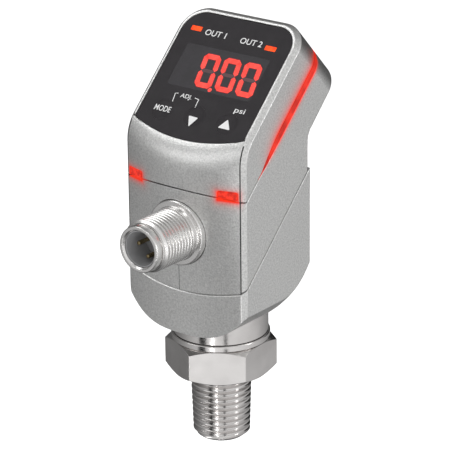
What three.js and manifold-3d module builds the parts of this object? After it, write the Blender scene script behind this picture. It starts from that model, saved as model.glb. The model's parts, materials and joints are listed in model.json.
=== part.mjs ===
// A compact electronic pressure switch: a swivelling die-cast head with a tilted display on a
// threaded stainless port. Millimetres, +Z up. The origin is on the port's axis, in the plane of
// the hexagon's underside. -Y is the front, where the connector and the display face.
import * as THREE from 'three';
import { mergeVertices } from 'three/addons/utils/BufferGeometryUtils.js';
import Module from 'manifold-3d';

const wasm = await Module();
wasm.setup();

// ---------------------------------------------------------------- driving dimensions
// Head envelope
const HEAD_WIDTH = 33;
const WALL = 2;
const PART_GAP = 0.15;
const EDGE_Y = -12.46;
const EDGE_BEVEL = 1;
const CROWN_TOP = 2.85;
const CROWN_LOW = 2.0;
const CROWN_TOP_Z = 49.5;
const CROWN_LOW_Z = 26;
const LOWER_BACK_Y = 11.8;
const MIDDLE_BACK_Y = 10.7;
const BACK_CORNER_R = 1.5;

// Tilted frame of the display: it starts on the parting corner and leans back by TILT
const TILT = THREE.MathUtils.degToRad(46.4);
const CORNER_Y = -11.46;
const CORNER_Z = 46.26;
const FACE_H = 9.1;
const RIM_H = 8.2;
const BACK_H = -8.35;
const TOP_S = 39.9;
const TOP_CORNER_R = 6.5;
const BROW_R = 9;
const NAPE_R = 4;
const CROWN_BACK_R = 2.2;
const LOWER_PART_Z = 26.11;

// Underside of the lower housing: a dished boat shape, lowest on the axis
const KEEL_Z = 13;
const KEEL_SIDE_RISE = 6.6;
const KEEL_SIDE_POWER = 3.2;
const KEEL_BACK_RISE = 6;
const KEEL_BACK_POWER = 2.5;
const FLOOR_Z = 19.6;
const FLOOR_THICK = 1.8;

// Display panel, keys and lamps, in the tilted frame
const PANEL_HALF = 14.9;
const PANEL_TOP_S = 38.1;
const PANEL_CORNER_R = 5.2;
const PANEL_SIDE_S = 10;
const PANEL_MIDDLE_S = 7.15;
const PANEL_H = 8.92;
const PANEL_THICK = 0.6;
const WINDOW = { half: 11.4, low: 19.2, high: 30 };
const KEY_X = [-8.8, 0, 8.8];
const KEY_NAMES = ['mode', 'down', 'up'];
const KEY_S = 13;
const KEY_R = 2.6;
const KEY_GAP = 0.18;
const KEY_FLANGE_R = 3.2;
const LAMP = { half: 1.45, rise: 0.58, left: [-11.15, 33.85], right: [9.85, 32.7] };
const BOARD_H = 3.6;
const BOARD_THICK = 1.2;
const DISPLAY_BOARD = { half: 12.6, low: 9.4, high: 35.4 };
const SWITCH_HALF = 1.9;
const SWITCH_TOP = 4.8;
const SWITCH_BUTTON_TOP = 5.5;
const KEY_FOOT_H = 5.95;
const KEY_FLANGE_LEVELS = [6.3, 6.75];
const LAMP_FOOT_H = 4.2;
const STATUS_LED = { x: 11.5, low: 10.5, high: 12, foot: 1 };
const MAIN_BOARD = { half: 8.2, low: 25, high: 51.5, rear: -4.6, front: -3 };

// Light strip in the parting line and the two windows above it
const STRIP_START_S = 7.3;
const STRIP_FULL_S = 19;
const STRIP_H = 1.28;
const LIGHT_WINDOW = { inner: 10.45, outer: 14.9, top: 48.25 };

// Plug connector, M12 size
const PLUG_Z = 37;
const PLUG_MOUTH_Y = -28.2;
const PLUG_THREAD_R = 6;
const PLUG_LEAD_R = 5.3;
const PLUG_BORE_R = 4.12;
const PLUG_FLANGE_R = 7.43;
const PLUG_SEAT_Y = -15;
const PLUG_RECESS = 13.3;
const PLUG_BACKING = 12.2;
const PLUG_CUP_DEPTH = 8.6;
const PLUG_REAR = 8.4;
const PLUG_REAR_WALL = 0.9;
const PLUG_SINK = 0.85;
const INSERT_REAR = 7.4;
const NUT_CORNER_R = 7.9;
const NUT_REAR = 9.6;
const PIN_REAR = 5;
const PIN_SHORT = 3;
const PIN_CIRCLE_R = 2.5;
const PIN_R = 0.5;

// Port: hexagon across 22, quarter inch taper thread
const HEX_FLATS = 22;
const HEX_TOP = 7.9;
const HEX_TURN = THREE.MathUtils.degToRad(-86.3);
const RING_R = 11.19;
const RING_TOP = 9.45;
const COLLAR_R = 10.8;
const SPINDLE_R = 7.8;
const SPINDLE_TOP = 23.6;
const RING_FOOT = 0.17;
const NECK_INSET = 0.7;
const COLLAR_TOP = 22;
const SEAL_GROOVE = { low: 16.5, high: 18.2, depth: 1.05 };
const RETAINER_GROOVE = { low: 20.25, high: 21.15, depth: 0.7 };
const STOP_LUG = { low: 21.4, high: 23.2 };
const RUNNING_GAP = 0.15;
const STOP_HALF = 1.4;
const STOP_Z = 22.4;
const CELL_BORE_R = 6;
const CELL_R = CELL_BORE_R - 0.15;
const CELL_SEAT_R = 4.7;
const CELL_SEAT_Z = 7.2;
const CELL_POCKET_Z = 8.4;
const SEAL_LEVELS = [8.5, 9.85];
const CELL_LEVELS = [9.95, 13.9];
const CLAMP_LEVELS = [14, 16.4];
const SENSOR_BOARD_LEVELS = [17.2, 18.2];
const CLAMP_HOLE_R = 3.4;
const THREAD_LENGTH = 16.2;
const THREAD_R = 6.95;
const THREAD_PITCH = 25.4 / 18;
const THREAD_DEPTH = 1.1;
const THREAD_TAPER = 1 / 32;
const PORT_BORE_R = 2;
const PORT_SEGMENTS = 28;

// Screws
const SCREW_SHANK_R = 1.1;
const SCREW_HEAD_R = 2.1;
const COVER_SCREW = { x: 6.5, s: 34.2 };
const BODY_SCREW = { x: 10.5, z: 40 };
const SCREW_HEAD_HEIGHT = 1.3;
const SCREW_TIP = 4.6;
const HEAD_RECESS = 1.5;
const BOSS_R = 1.85;

// Vent plug in the back of the lower housing
const VENT = { z: 33, r: 3, depth: 2 };

// Largest turn of one facet on rounded corners, in radians
const ARC_STEP = THREE.MathUtils.degToRad(15);
const SMALL_ARC_STEP = THREE.MathUtils.degToRad(45);

// ---------------------------------------------------------------- finishes
const finish = (color, roughness, metalness) => ({ color, roughness, metalness });
const FINISH = {
  casting: finish(0xa9a9a6, 0.45, 1),
  steel: finish(0xc4c2c0, 0.25, 1),
  nickel: finish(0xd2d0cc, 0.2, 1),
  panel: finish(0x3a383b, 0.5, 0),
  lens: finish(0x2c2a30, 0.1, 0),
  light: finish(0xe8331c, 0.35, 0),
  lamp: finish(0xff5418, 0.3, 0),
  rubber: finish(0x1b1b1c, 0.8, 0),
  board: finish(0x1f5a36, 0.6, 0),
  insert: finish(0x55565a, 0.55, 0),
  gold: finish(0xd9b45a, 0.25, 1),
  ceramic: finish(0xe9e4d8, 0.5, 0),
  black: finish(0x202124, 0.5, 0),
  flex: finish(0xb4702a, 0.5, 0),
};

// ---------------------------------------------------------------- geometry helpers
const cos = Math.cos(TILT);
const sin = Math.sin(TILT);
const half = HEAD_WIDTH / 2;
const yzOf = (s, h) => [CORNER_Y + s * sin - h * cos, CORNER_Z + s * cos + h * sin];

function frameOf(xAxis, yAxis, zAxis, origin = [0, 0, 0]) {
  const axes = [xAxis, yAxis, zAxis].map((axis) => new THREE.Vector3(...axis));
  return new THREE.Matrix4().makeBasis(...axes).setPosition(...origin);
}
const UPRIGHT = frameOf([1, 0, 0], [0, 1, 0], [0, 0, 1]);
const SIDEWAYS = frameOf([0, 1, 0], [0, 0, 1], [1, 0, 0]);
const FORWARD = frameOf([1, 0, 0], [0, 0, 1], [0, -1, 0]);
const TILTED = frameOf([1, 0, 0], [0, sin, cos], [0, -cos, sin], [0, CORNER_Y, CORNER_Z]);

// A closed mesh becomes a solid; a mesh that is inside out is turned round first.
function solidOf(positions, triangles) {
  const make = (triVerts) =>
    new wasm.Manifold(new wasm.Mesh({ numProp: 3, vertProperties: positions, triVerts }));
  const solid = make(triangles);
  if (solid.volume() > 0) return solid;
  const turned = triangles.slice();
  for (let i = 0; i < turned.length; i += 3) {
    turned[i + 1] = triangles[i + 2];
    turned[i + 2] = triangles[i + 1];
  }
  return make(turned);
}

function solidFrom(geometry, frame) {
  const bare = geometry.clone().applyMatrix4(frame);
  bare.deleteAttribute('normal');
  bare.deleteAttribute('uv');
  const merged = mergeVertices(bare, 1e-4);
  const kept = [];
  for (let i = 0; i < merged.index.count; i += 3) {
    const [a, b, c] = [0, 1, 2].map((k) => merged.index.getX(i + k));
    if (a !== b && b !== c && c !== a) kept.push(a, b, c);
  }
  return solidOf(new Float32Array(merged.attributes.position.array), new Uint32Array(kept));
}

// Corner points [x, y, radius] of a closed outline; a corner with a radius becomes an arc.
function outline(corners) {
  const points = [];
  corners.forEach(([x, y, radius = 0], index) => {
    const corner = new THREE.Vector2(x, y);
    if (radius <= 0) {
      points.push(corner);
      return;
    }
    const count = corners.length;
    const [px, py] = corners[(index + count - 1) % count];
    const [nx, ny] = corners[(index + 1) % count];
    const back = new THREE.Vector2(px, py).sub(corner).normalize();
    const ahead = new THREE.Vector2(nx, ny).sub(corner).normalize();
    const opening = Math.acos(THREE.MathUtils.clamp(back.dot(ahead), -1, 1));
    const reach = radius / Math.tan(opening / 2);
    const centre = back.clone().add(ahead).normalize();
    centre.multiplyScalar(radius / Math.sin(opening / 2)).add(corner);
    const start = back.clone().multiplyScalar(reach).add(corner).sub(centre);
    const turn = Math.sign(back.cross(ahead)) * -(Math.PI - opening);
    const arcStep = radius < 1 ? SMALL_ARC_STEP : ARC_STEP;
    const steps = Math.max(1, Math.ceil(Math.abs(turn) / arcStep));
    for (let k = 0; k <= steps; k++) {
      const spoke = start.clone().rotateAround(new THREE.Vector2(), (turn * k) / steps);
      points.push(spoke.add(centre));
    }
  });
  return points;
}

// A prism on an outline, from `from` to `to` along the frame's third axis.
function prism(points, from, to, frame = UPRIGHT) {
  const options = { depth: to - from, bevelEnabled: false };
  const geometry = new THREE.ExtrudeGeometry(new THREE.Shape(points), options);
  return solidFrom(geometry.translate(0, 0, from), frame);
}

// Loops of equal length at rising levels, joined by walls and closed by flat ends.
function stack(levels, frame = UPRIGHT) {
  const count = levels[0].points.length;
  const positions = [];
  levels.forEach(({ level, points }) => points.forEach((p) => positions.push(p.x, p.y, level)));
  const triangles = [];
  for (let row = 0; row + 1 < levels.length; row++) {
    for (let k = 0; k < count; k++) {
      const a = row * count + k;
      const b = row * count + ((k + 1) % count);
      triangles.push(a, b, a + count, b, b + count, a + count);
    }
  }
  const last = (levels.length - 1) * count;
  THREE.ShapeUtils.triangulateShape(levels[0].points, []).forEach(([a, b, c]) => {
    triangles.push(a, c, b);
  });
  THREE.ShapeUtils.triangulateShape(levels.at(-1).points, []).forEach(([a, b, c]) => {
    triangles.push(last + a, last + b, last + c);
  });
  const geometry = new THREE.BufferGeometry();
  geometry.setAttribute('position', new THREE.Float32BufferAttribute(positions, 3));
  geometry.setIndex(triangles);
  return solidFrom(geometry, frame);
}

// Everything below the surface z = height(x, y) inside a square block round the axis.
function blockUnder(height, reach = 20, columns = 16) {
  const positions = [];
  const side = columns + 1;
  for (const isTop of [false, true]) {
    for (let j = 0; j < side; j++) {
      for (let i = 0; i < side; i++) {
        const x = reach * ((2 * i) / columns - 1);
        const y = reach * ((2 * j) / columns - 1);
        positions.push(x, y, isTop ? height(x, y) : -10);
      }
    }
  }
  const at = (i, j, top) => (top ? side * side : 0) + j * side + i;
  const triangles = [];
  const quad = (a, b, c, d) => triangles.push(a, b, c, a, c, d);
  for (let j = 0; j < columns; j++) {
    for (let i = 0; i < columns; i++) {
      quad(at(i, j, 1), at(i + 1, j, 1), at(i + 1, j + 1, 1), at(i, j + 1, 1));
      quad(at(i, j, 0), at(i, j + 1, 0), at(i + 1, j + 1, 0), at(i + 1, j, 0));
    }
  }
  for (let k = 0; k < columns; k++) {
    quad(at(k, 0, 0), at(k + 1, 0, 0), at(k + 1, 0, 1), at(k, 0, 1));
    quad(at(k + 1, columns, 0), at(k, columns, 0), at(k, columns, 1), at(k + 1, columns, 1));
    quad(at(0, k + 1, 0), at(0, k, 0), at(0, k, 1), at(0, k + 1, 1));
    quad(at(columns, k, 0), at(columns, k + 1, 0), at(columns, k + 1, 1), at(columns, k, 1));
  }
  const geometry = new THREE.BufferGeometry();
  geometry.setAttribute('position', new THREE.Float32BufferAttribute(positions, 3));
  geometry.setIndex(triangles);
  return solidFrom(geometry, UPRIGHT);
}

// A turned piece: profile points [radius, height] round the frame's third axis.
function turned(profile, frame = UPRIGHT, segments = 32) {
  const points = profile.map(([r, z]) => new THREE.Vector2(r, z));
  const geometry = new THREE.LatheGeometry(points, segments).rotateX(Math.PI / 2);
  return solidFrom(geometry, frame);
}
const closed = (profile) => [...profile, profile[0]];
const ringProfile = (inner, outer, low, high) =>
  closed([[inner, low], [outer, low], [outer, high], [inner, high]]);
const diskProfile = (radius, low, high) => [[0, low], [radius, low], [radius, high], [0, high]];

function movedFrame(frame, x, y, z) {
  return frame.clone().multiply(new THREE.Matrix4().makeTranslation(x, y, z));
}
const tiltedAt = (x, s) => movedFrame(TILTED, x, s, 0);
const plugFrame = movedFrame(FORWARD, 0, PLUG_Z, 0);
const rect = (x0, y0, x1, y1, r = 0) => outline([[x0, y0, r], [x1, y0, r], [x1, y1, r], [x0, y1, r]]);
const join = (solids) => solids.reduce((sum, next) => sum.add(next));

// ---------------------------------------------------------------- head envelope
// Plan outline: a crowned front with bevelled corners, straight sides and a flat back.
function planOutline(inset, crown, backY, cornerR) {
  const side = half - inset;
  const bevel = EDGE_BEVEL * (inset > 0 ? 0.5 : 1);
  const reach = side - bevel;
  const frontY = EDGE_Y + inset;
  const steps = 12;
  const front = [];
  for (let k = 0; k <= steps; k++) {
    const x = reach * ((2 * k) / steps - 1);
    front.push([x, frontY - crown * (1 - (x / reach) ** 2)]);
  }
  return outline([
    ...front,
    [side, frontY + bevel],
    [side, backY - inset, cornerR],
    [-side, backY - inset, cornerR],
    [-side, frontY + bevel],
  ]);
}

function column(inset, backY, cornerR) {
  const levels = [
    [-5, CROWN_LOW],
    [CROWN_LOW_Z, CROWN_LOW],
    [CROWN_TOP_Z, CROWN_TOP],
    [120, CROWN_TOP],
  ];
  return stack(levels.map(([level, crown]) => {
    return { level, points: planOutline(inset, crown, backY, cornerR) };
  }));
}

// Outline of the head seen square on to the display: straight sides, rounded top corners.
function headLoop(inset) {
  const radius = TOP_CORNER_R - inset;
  const top = TOP_S - inset;
  return outline([[-half + inset, -60], [half - inset, -60], [half - inset, top, radius],
    [-half + inset, top, radius]]);
}

// Everything that the upper shells fill, with each face moved inwards by `inset`.
function upperEnvelope(inset) {
  const frontY = EDGE_Y - CROWN_TOP + inset;
  const faceH = FACE_H - inset;
  const backH = BACK_H + inset;
  const backY = MIDDLE_BACK_Y - inset;
  const browZ = CORNER_Z + (faceH + (frontY - CORNER_Y) * cos) / sin;
  const napeZ = CORNER_Z + (backH + (backY - CORNER_Y) * cos) / sin;
  const profile = outline([
    [frontY, -5],
    [backY, -5],
    [backY, napeZ, NAPE_R + inset],
    [...yzOf(TOP_S - inset, backH), CROWN_BACK_R],
    yzOf(TOP_S - inset, faceH),
    [frontY, browZ, BROW_R - inset],
  ]);
  const head = stack([
    { level: -60, points: headLoop(inset) },
    { level: RIM_H - inset, points: headLoop(inset) },
    { level: faceH, points: headLoop(inset + EDGE_BEVEL) },
  ], TILTED);
  return prism(profile, -half, half, SIDEWAYS).intersect(column(inset, 60, 0)).intersect(head);
}

const keelHeight = (x, y) =>
  KEEL_Z + KEEL_SIDE_RISE * (Math.abs(x) / half) ** KEEL_SIDE_POWER
  + KEEL_BACK_RISE * (Math.max(0, y) / LOWER_BACK_Y) ** KEEL_BACK_POWER;

// Half spaces on the tilted parting plane between the middle and the lower housing.
function belowLowerParting(offset) {
  const start = CORNER_Z - LOWER_PART_Z;
  const shift = offset - start * sin;
  return prism(rect(-60, -90, 60, 90), shift - 80, shift, TILTED);
}

// Space above the cover's parting surface: a shallow arch across the front, then the tilted plane.
function aboveCoverParting(offset) {
  const steps = 10;
  const arch = [];
  for (let k = 0; k <= steps; k++) {
    const x = 20 * ((2 * k) / steps - 1);
    arch.push(new THREE.Vector2(x, CORNER_Z + offset + Math.max(0, 1 - (x / half) ** 2)));
  }
  const front = prism([...arch, new THREE.Vector2(20, 120), new THREE.Vector2(-20, 120)],
    -CORNER_Y, 40, FORWARD);
  const [farY, farZ] = yzOf(80, 0);
  const slope = prism(outline([[CORNER_Y - 0.01, CORNER_Z + offset / sin],
    [farY, farZ + offset / sin], [farY, 150], [CORNER_Y - 0.01, 150]]), -25, 25, SIDEWAYS);
  return front.add(slope);
}

// ---------------------------------------------------------------- cutters shared by pieces
// Panel outline, moved outwards by `grow`: its lower edge is an arc.
function panelOutline(grow) {
  const steps = 8;
  const side = PANEL_HALF + grow;
  const low = [];
  for (let k = 0; k <= steps; k++) {
    const x = side * ((2 * k) / steps - 1);
    const sag = (PANEL_SIDE_S - PANEL_MIDDLE_S) * (x / side) ** 2;
    low.push([x, PANEL_MIDDLE_S + sag - grow]);
  }
  const radius = PANEL_CORNER_R + grow;
  return outline([...low, [side, PANEL_TOP_S + grow, radius], [-side, PANEL_TOP_S + grow, radius]]);
}

const keyCylinder = (index, radius, low, high) =>
  turned(diskProfile(radius, low, high), tiltedAt(KEY_X[index], KEY_S), 20);

const lampBox = (side, grow, low, high) => {
  const [x, s] = side < 0 ? LAMP.left : LAMP.right;
  const [w, r] = [LAMP.half + grow, LAMP.rise + grow];
  return prism(rect(x - w, s - r, x + w, s + r), low, high, TILTED);
};

const windowBlock = (grow, low, high) =>
  prism(rect(-WINDOW.half - grow, WINDOW.low - grow, WINDOW.half + grow, WINDOW.high + grow, 0.6),
    low, high, TILTED);

// Band that the light strip fills, thin at the front end and full above; `trim` narrows it.
function stripBand(trim) {
  const steps = 8;
  const upper = [];
  for (let k = 0; k <= steps; k++) {
    const s = STRIP_START_S + ((STRIP_FULL_S - STRIP_START_S) * k) / steps;
    const left = (STRIP_FULL_S - s) / (STRIP_FULL_S - STRIP_START_S);
    upper.push(yzOf(s + trim, STRIP_H * (1 - left ** 2) - trim));
  }
  const far = TOP_S + 5;
  return prism(outline([yzOf(STRIP_START_S + trim, -0.1), yzOf(far, -0.1),
    yzOf(far, STRIP_H - trim), ...upper.slice(1).reverse()]), -25, 25, SIDEWAYS);
}

const lightWindowBlock = (side, trim, backY) => {
  const [near, far] = [LIGHT_WINDOW.inner + trim, LIGHT_WINDOW.outer - trim];
  const [x0, x1] = side > 0 ? [near, far] : [-far, -near];
  return prism(rect(x0, 44, x1, LIGHT_WINDOW.top - trim, 0.3), -backY, 20, FORWARD);
};

// ---------------------------------------------------------------- shells
function coverBoss(side) {
  const axis = tiltedAt(side * COVER_SCREW.x, COVER_SCREW.s);
  return turned(diskProfile(BOSS_R, 0.5, FACE_H - 1), axis, 16);
}

function frontCover() {
  const shell = upperEnvelope(0).intersect(aboveCoverParting(PART_GAP));
  let cover = shell.subtract(upperEnvelope(WALL));
  cover = join([cover, coverBoss(-1), coverBoss(1)]);
  cover = cover.subtract(prism(panelOutline(0.1), PANEL_H - PANEL_THICK - 0.05, 20, TILTED));
  cover = cover.subtract(windowBlock(-0.5, 0, 20));
  cover = cover.subtract(stripBand(-PART_GAP).subtract(upperEnvelope(WALL + 0.1)));
  for (const index of [0, 1, 2]) cover = cover.subtract(keyCylinder(index, KEY_R + 0.3, 0, 20));
  for (const side of [-1, 1]) {
    cover = cover.subtract(lampBox(side, PART_GAP, 0, 20));
    cover = cover.subtract(lightWindowBlock(side, 0, CORNER_Y));
    const pilot = tiltedAt(side * COVER_SCREW.x, COVER_SCREW.s);
    cover = cover.subtract(turned(diskProfile(SCREW_SHANK_R + 0.1, -20, 5), pilot, 12));
  }
  return cover;
}

function upperHousing() {
  let shell = upperEnvelope(0).subtract(aboveCoverParting(-PART_GAP));
  shell = shell.subtract(belowLowerParting(PART_GAP));
  shell = shell.subtract(upperEnvelope(WALL));
  const bosses = [];
  for (const side of [-1, 1]) {
    const coverAxis = tiltedAt(side * COVER_SCREW.x, COVER_SCREW.s);
    bosses.push(turned(diskProfile(BOSS_R, BACK_H + 1, -0.5), coverAxis, 16));
    const bodyAxis = movedFrame(FORWARD, side * BODY_SCREW.x, BODY_SCREW.z, 0);
    bosses.push(turned(diskProfile(BOSS_R, -1.4, 11.5), bodyAxis, 16));
  }
  const backing = diskProfile(PLUG_FLANGE_R + 1, PLUG_BACKING, PLUG_RECESS + 0.3);
  bosses.push(turned(backing, plugFrame, 28));
  shell = join([shell, ...bosses]);
  for (const side of [-1, 1]) {
    const coverAxis = tiltedAt(side * COVER_SCREW.x, COVER_SCREW.s);
    shell = shell.subtract(turned(diskProfile(SCREW_SHANK_R + 0.15, -20, 5), coverAxis, 12));
    const recess = diskProfile(SCREW_HEAD_R + 0.15, -20, BACK_H + HEAD_RECESS);
    shell = shell.subtract(turned(recess, coverAxis, 20));
    const bodyAxis = movedFrame(FORWARD, side * BODY_SCREW.x, BODY_SCREW.z, 0);
    shell = shell.subtract(turned(diskProfile(SCREW_SHANK_R + 0.1, -8, 5), bodyAxis, 12));
  }
  const seat = turned(diskProfile(PLUG_FLANGE_R + 0.15, PLUG_RECESS, 20), plugFrame, 28);
  const through = turned(diskProfile(PLUG_THREAD_R + 0.2, 9, 20), plugFrame, 28);
  return shell.subtract(seat).subtract(through);
}

function lowerHousing() {
  const outside = column(0, LOWER_BACK_Y, BACK_CORNER_R).subtract(blockUnder(keelHeight));
  const cavity = column(WALL, LOWER_BACK_Y, BACK_CORNER_R / 2)
    .subtract(blockUnder((x, y) => Math.max(FLOOR_Z, keelHeight(x, y) + FLOOR_THICK)));
  let shell = outside.subtract(cavity);
  const stop = prism(rect(-STOP_HALF, -14, STOP_HALF, -SPINDLE_R - 0.5), STOP_LUG.low, STOP_LUG.high);
  shell = shell.add(stop);
  for (const side of [-1, 1]) {
    const axis = movedFrame(FORWARD, side * BODY_SCREW.x, BODY_SCREW.z, 0);
    shell = shell.add(turned(diskProfile(BOSS_R, -10, -2), axis, 16));
  }
  shell = shell.intersect(belowLowerParting(-PART_GAP));
  for (const side of [-1, 1]) {
    const axis = movedFrame(FORWARD, side * BODY_SCREW.x, BODY_SCREW.z, 0);
    shell = shell.subtract(turned(diskProfile(SCREW_SHANK_R + 0.15, -20, 5), axis, 12));
    shell = shell.subtract(
      turned(diskProfile(SCREW_HEAD_R + 0.15, -20, HEAD_RECESS - LOWER_BACK_Y), axis, 20));
  }
  const vent = movedFrame(FORWARD, 0, VENT.z, 0);
  shell = shell.subtract(turned(diskProfile(VENT.r + 0.15, -20, -8), vent, 24));
  return shell.subtract(turned(diskProfile(SPINDLE_R + RUNNING_GAP, 0, 30), UPRIGHT, 28));
}

function coverGasket() {
  const band = aboveCoverParting(-0.7).subtract(aboveCoverParting(0.7));
  return upperEnvelope(WALL + 0.3).subtract(upperEnvelope(WALL + 1.1)).intersect(band);
}

function lowerGasket() {
  const band = belowLowerParting(0.7).subtract(belowLowerParting(-0.7));
  const outer = column(WALL + 0.3, MIDDLE_BACK_Y, 0.8);
  const inner = column(WALL + 1.1, MIDDLE_BACK_Y, 0.4);
  const clearance = turned(diskProfile(SPINDLE_R + 2.5, 0, 24));
  return outer.subtract(inner).intersect(band).subtract(clearance);
}

// ---------------------------------------------------------------- lights, panel and keys
function lightGuide() {
  const skin = upperEnvelope(0.05).subtract(upperEnvelope(WALL));
  return skin.intersect(stripBand(0.05));
}

function lightWindow(side) {
  const block = lightWindowBlock(side, PART_GAP, CORNER_Y - 0.2);
  return upperEnvelope(0.05).intersect(aboveCoverParting(0.3)).intersect(block);
}

function displayPanel() {
  let panel = prism(panelOutline(0), PANEL_H - PANEL_THICK, PANEL_H, TILTED);
  panel = panel.subtract(windowBlock(0.1, 0, 20));
  for (const index of [0, 1, 2]) {
    panel = panel.subtract(keyCylinder(index, KEY_R + KEY_GAP, 0, 20));
  }
  return panel.subtract(lampBox(-1, 0.1, 0, 20)).subtract(lampBox(1, 0.1, 0, 20));
}

// A key cap with a flange below the cover plate and a stem over its switch.
function keyCap(index) {
  const [low, high] = KEY_FLANGE_LEVELS;
  const profile = [[0, KEY_FOOT_H], [0.9, KEY_FOOT_H], [0.9, low], [KEY_FLANGE_R, low],
    [KEY_FLANGE_R, high], [KEY_R, high], [KEY_R, PANEL_H],
    [KEY_R - 0.25, PANEL_H + 0.08], [0, PANEL_H + 0.1]];
  return turned(profile, tiltedAt(KEY_X[index], KEY_S), 20);
}

function tactSwitch(index) {
  const x = KEY_X[index];
  const w = SWITCH_HALF;
  const square = rect(x - w, KEY_S - w, x + w, KEY_S + w, 0.3);
  const body = prism(square, BOARD_H + 0.05, SWITCH_TOP, TILTED);
  const button = diskProfile(0.9, SWITCH_TOP - 0.1, SWITCH_BUTTON_TOP);
  return body.add(turned(button, tiltedAt(x, KEY_S), 12));
}

function displayBoard() {
  const { half: w, low, high } = DISPLAY_BOARD;
  let board = prism(rect(-w, low, w, high, 1), BOARD_H - BOARD_THICK, BOARD_H, TILTED);
  for (const side of [-1, 1]) {
    const hole = tiltedAt(side * COVER_SCREW.x, COVER_SCREW.s);
    board = board.subtract(turned(diskProfile(2, 0, 8), hole, 16));
  }
  return board;
}

// A light source under the board, aimed at the light guide.
function statusLed(side) {
  const { x, low, high, foot } = STATUS_LED;
  const square = rect(side * x - 1, low, side * x + 1, high, 0.1);
  return prism(square, foot, BOARD_H - BOARD_THICK - 0.05, TILTED);
}

// A ribbon of the given thickness along a path of [y, z] points, `width` wide across X.
function ribbon(path, thickness, width) {
  const curve = new THREE.CatmullRomCurve3(path.map(([y, z]) => new THREE.Vector3(0, y, z)));
  const steps = 10;
  const [near, far] = [[], []];
  for (let k = 0; k <= steps; k++) {
    const point = curve.getPoint(k / steps);
    const along = curve.getTangent(k / steps);
    const [ny, nz] = [-along.z * thickness / 2, along.y * thickness / 2];
    near.push(new THREE.Vector2(point.y + ny, point.z + nz));
    far.unshift(new THREE.Vector2(point.y - ny, point.z - nz));
  }
  return prism([...near, ...far], -width / 2, width / 2, SIDEWAYS);
}

// ---------------------------------------------------------------- connector
function connectorShell() {
  const mouth = -PLUG_MOUTH_Y;
  const seat = -PLUG_SEAT_Y;
  const profile = [
    [PLUG_BORE_R, mouth - PLUG_CUP_DEPTH], [PLUG_BORE_R, mouth - 0.35], [PLUG_BORE_R + 0.35, mouth],
    [PLUG_LEAD_R - 0.3, mouth], [PLUG_LEAD_R, mouth - 0.3], [PLUG_LEAD_R, mouth - 2.5],
    [PLUG_LEAD_R - 0.45, mouth - 2.8], [PLUG_LEAD_R - 0.45, mouth - 3.3],
    [PLUG_THREAD_R, mouth - 3.9], [PLUG_THREAD_R, seat + 2.4],
    [PLUG_THREAD_R - 0.5, seat + 1.9], [PLUG_THREAD_R + 0.05, seat + 1.5],
    [PLUG_THREAD_R + 0.05, seat + 0.6], [PLUG_FLANGE_R - 0.3, seat + 0.6],
    [PLUG_FLANGE_R, seat + 0.3], [PLUG_FLANGE_R, seat - PLUG_SINK],
    [PLUG_THREAD_R, seat - PLUG_SINK], [PLUG_THREAD_R, PLUG_REAR],
    [PLUG_BORE_R + PLUG_REAR_WALL, PLUG_REAR],
    [PLUG_BORE_R + PLUG_REAR_WALL, mouth - PLUG_CUP_DEPTH],
  ];
  return turned(closed(profile), plugFrame, 28);
}

function connectorInsert() {
  const front = -PLUG_MOUTH_Y - PLUG_CUP_DEPTH - 0.15;
  const radius = PLUG_BORE_R + PLUG_REAR_WALL - 0.15;
  let insert = turned(diskProfile(radius, INSERT_REAR, front), plugFrame, 28);
  for (let k = 0; k < 4; k++) insert = insert.subtract(contactPin(k, 0.05));
  return insert;
}

// Contact pins stand at the quarter points of their circle.
function contactPin(index, grow = 0) {
  const angle = (index * Math.PI) / 2;
  const [x, y] = [PIN_CIRCLE_R * Math.cos(angle), PIN_CIRCLE_R * Math.sin(angle)];
  const axis = movedFrame(plugFrame, x, y, 0);
  const tip = -PLUG_MOUTH_Y - PIN_SHORT;
  const r = PIN_R + grow;
  const profile = [[0, PIN_REAR], [r, PIN_REAR], [r, tip - 0.35], [r * 0.45, tip + grow],
    [0, tip + grow]];
  return turned(profile, axis, 10);
}

function connectorNut() {
  const flats = outline(polygonCorners(6, NUT_CORNER_R, 0));
  return prism(flats, NUT_REAR, PLUG_BACKING - 0.15, plugFrame)
    .subtract(turned(diskProfile(PLUG_THREAD_R + 0.05, 0, 20), plugFrame, 24));
}

function polygonCorners(count, radius, turn) {
  return Array.from({ length: count }, (_, k) => {
    const angle = turn + (2 * Math.PI * k) / count;
    return [radius * Math.cos(angle), radius * Math.sin(angle)];
  });
}

// ---------------------------------------------------------------- port
// Taper thread as stacked crests and roots, from the tip up to the hexagon.
function threadProfile() {
  const crest = (z) => THREAD_R + z * THREAD_TAPER;
  const points = [[PORT_BORE_R, -THREAD_LENGTH], [crest(-THREAD_LENGTH) - 1.2, -THREAD_LENGTH]];
  const first = -THREAD_LENGTH + 0.9;
  const turns = Math.floor((THREAD_LENGTH - 1.8) / THREAD_PITCH);
  for (let k = 0; k < turns; k++) {
    const z = first + k * THREAD_PITCH;
    points.push([crest(z), z]);
    const root = z + THREAD_PITCH / 2;
    points.push([crest(root) - THREAD_DEPTH, root]);
  }
  points.push([THREAD_R - THREAD_DEPTH, 0]);
  return points;
}

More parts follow.
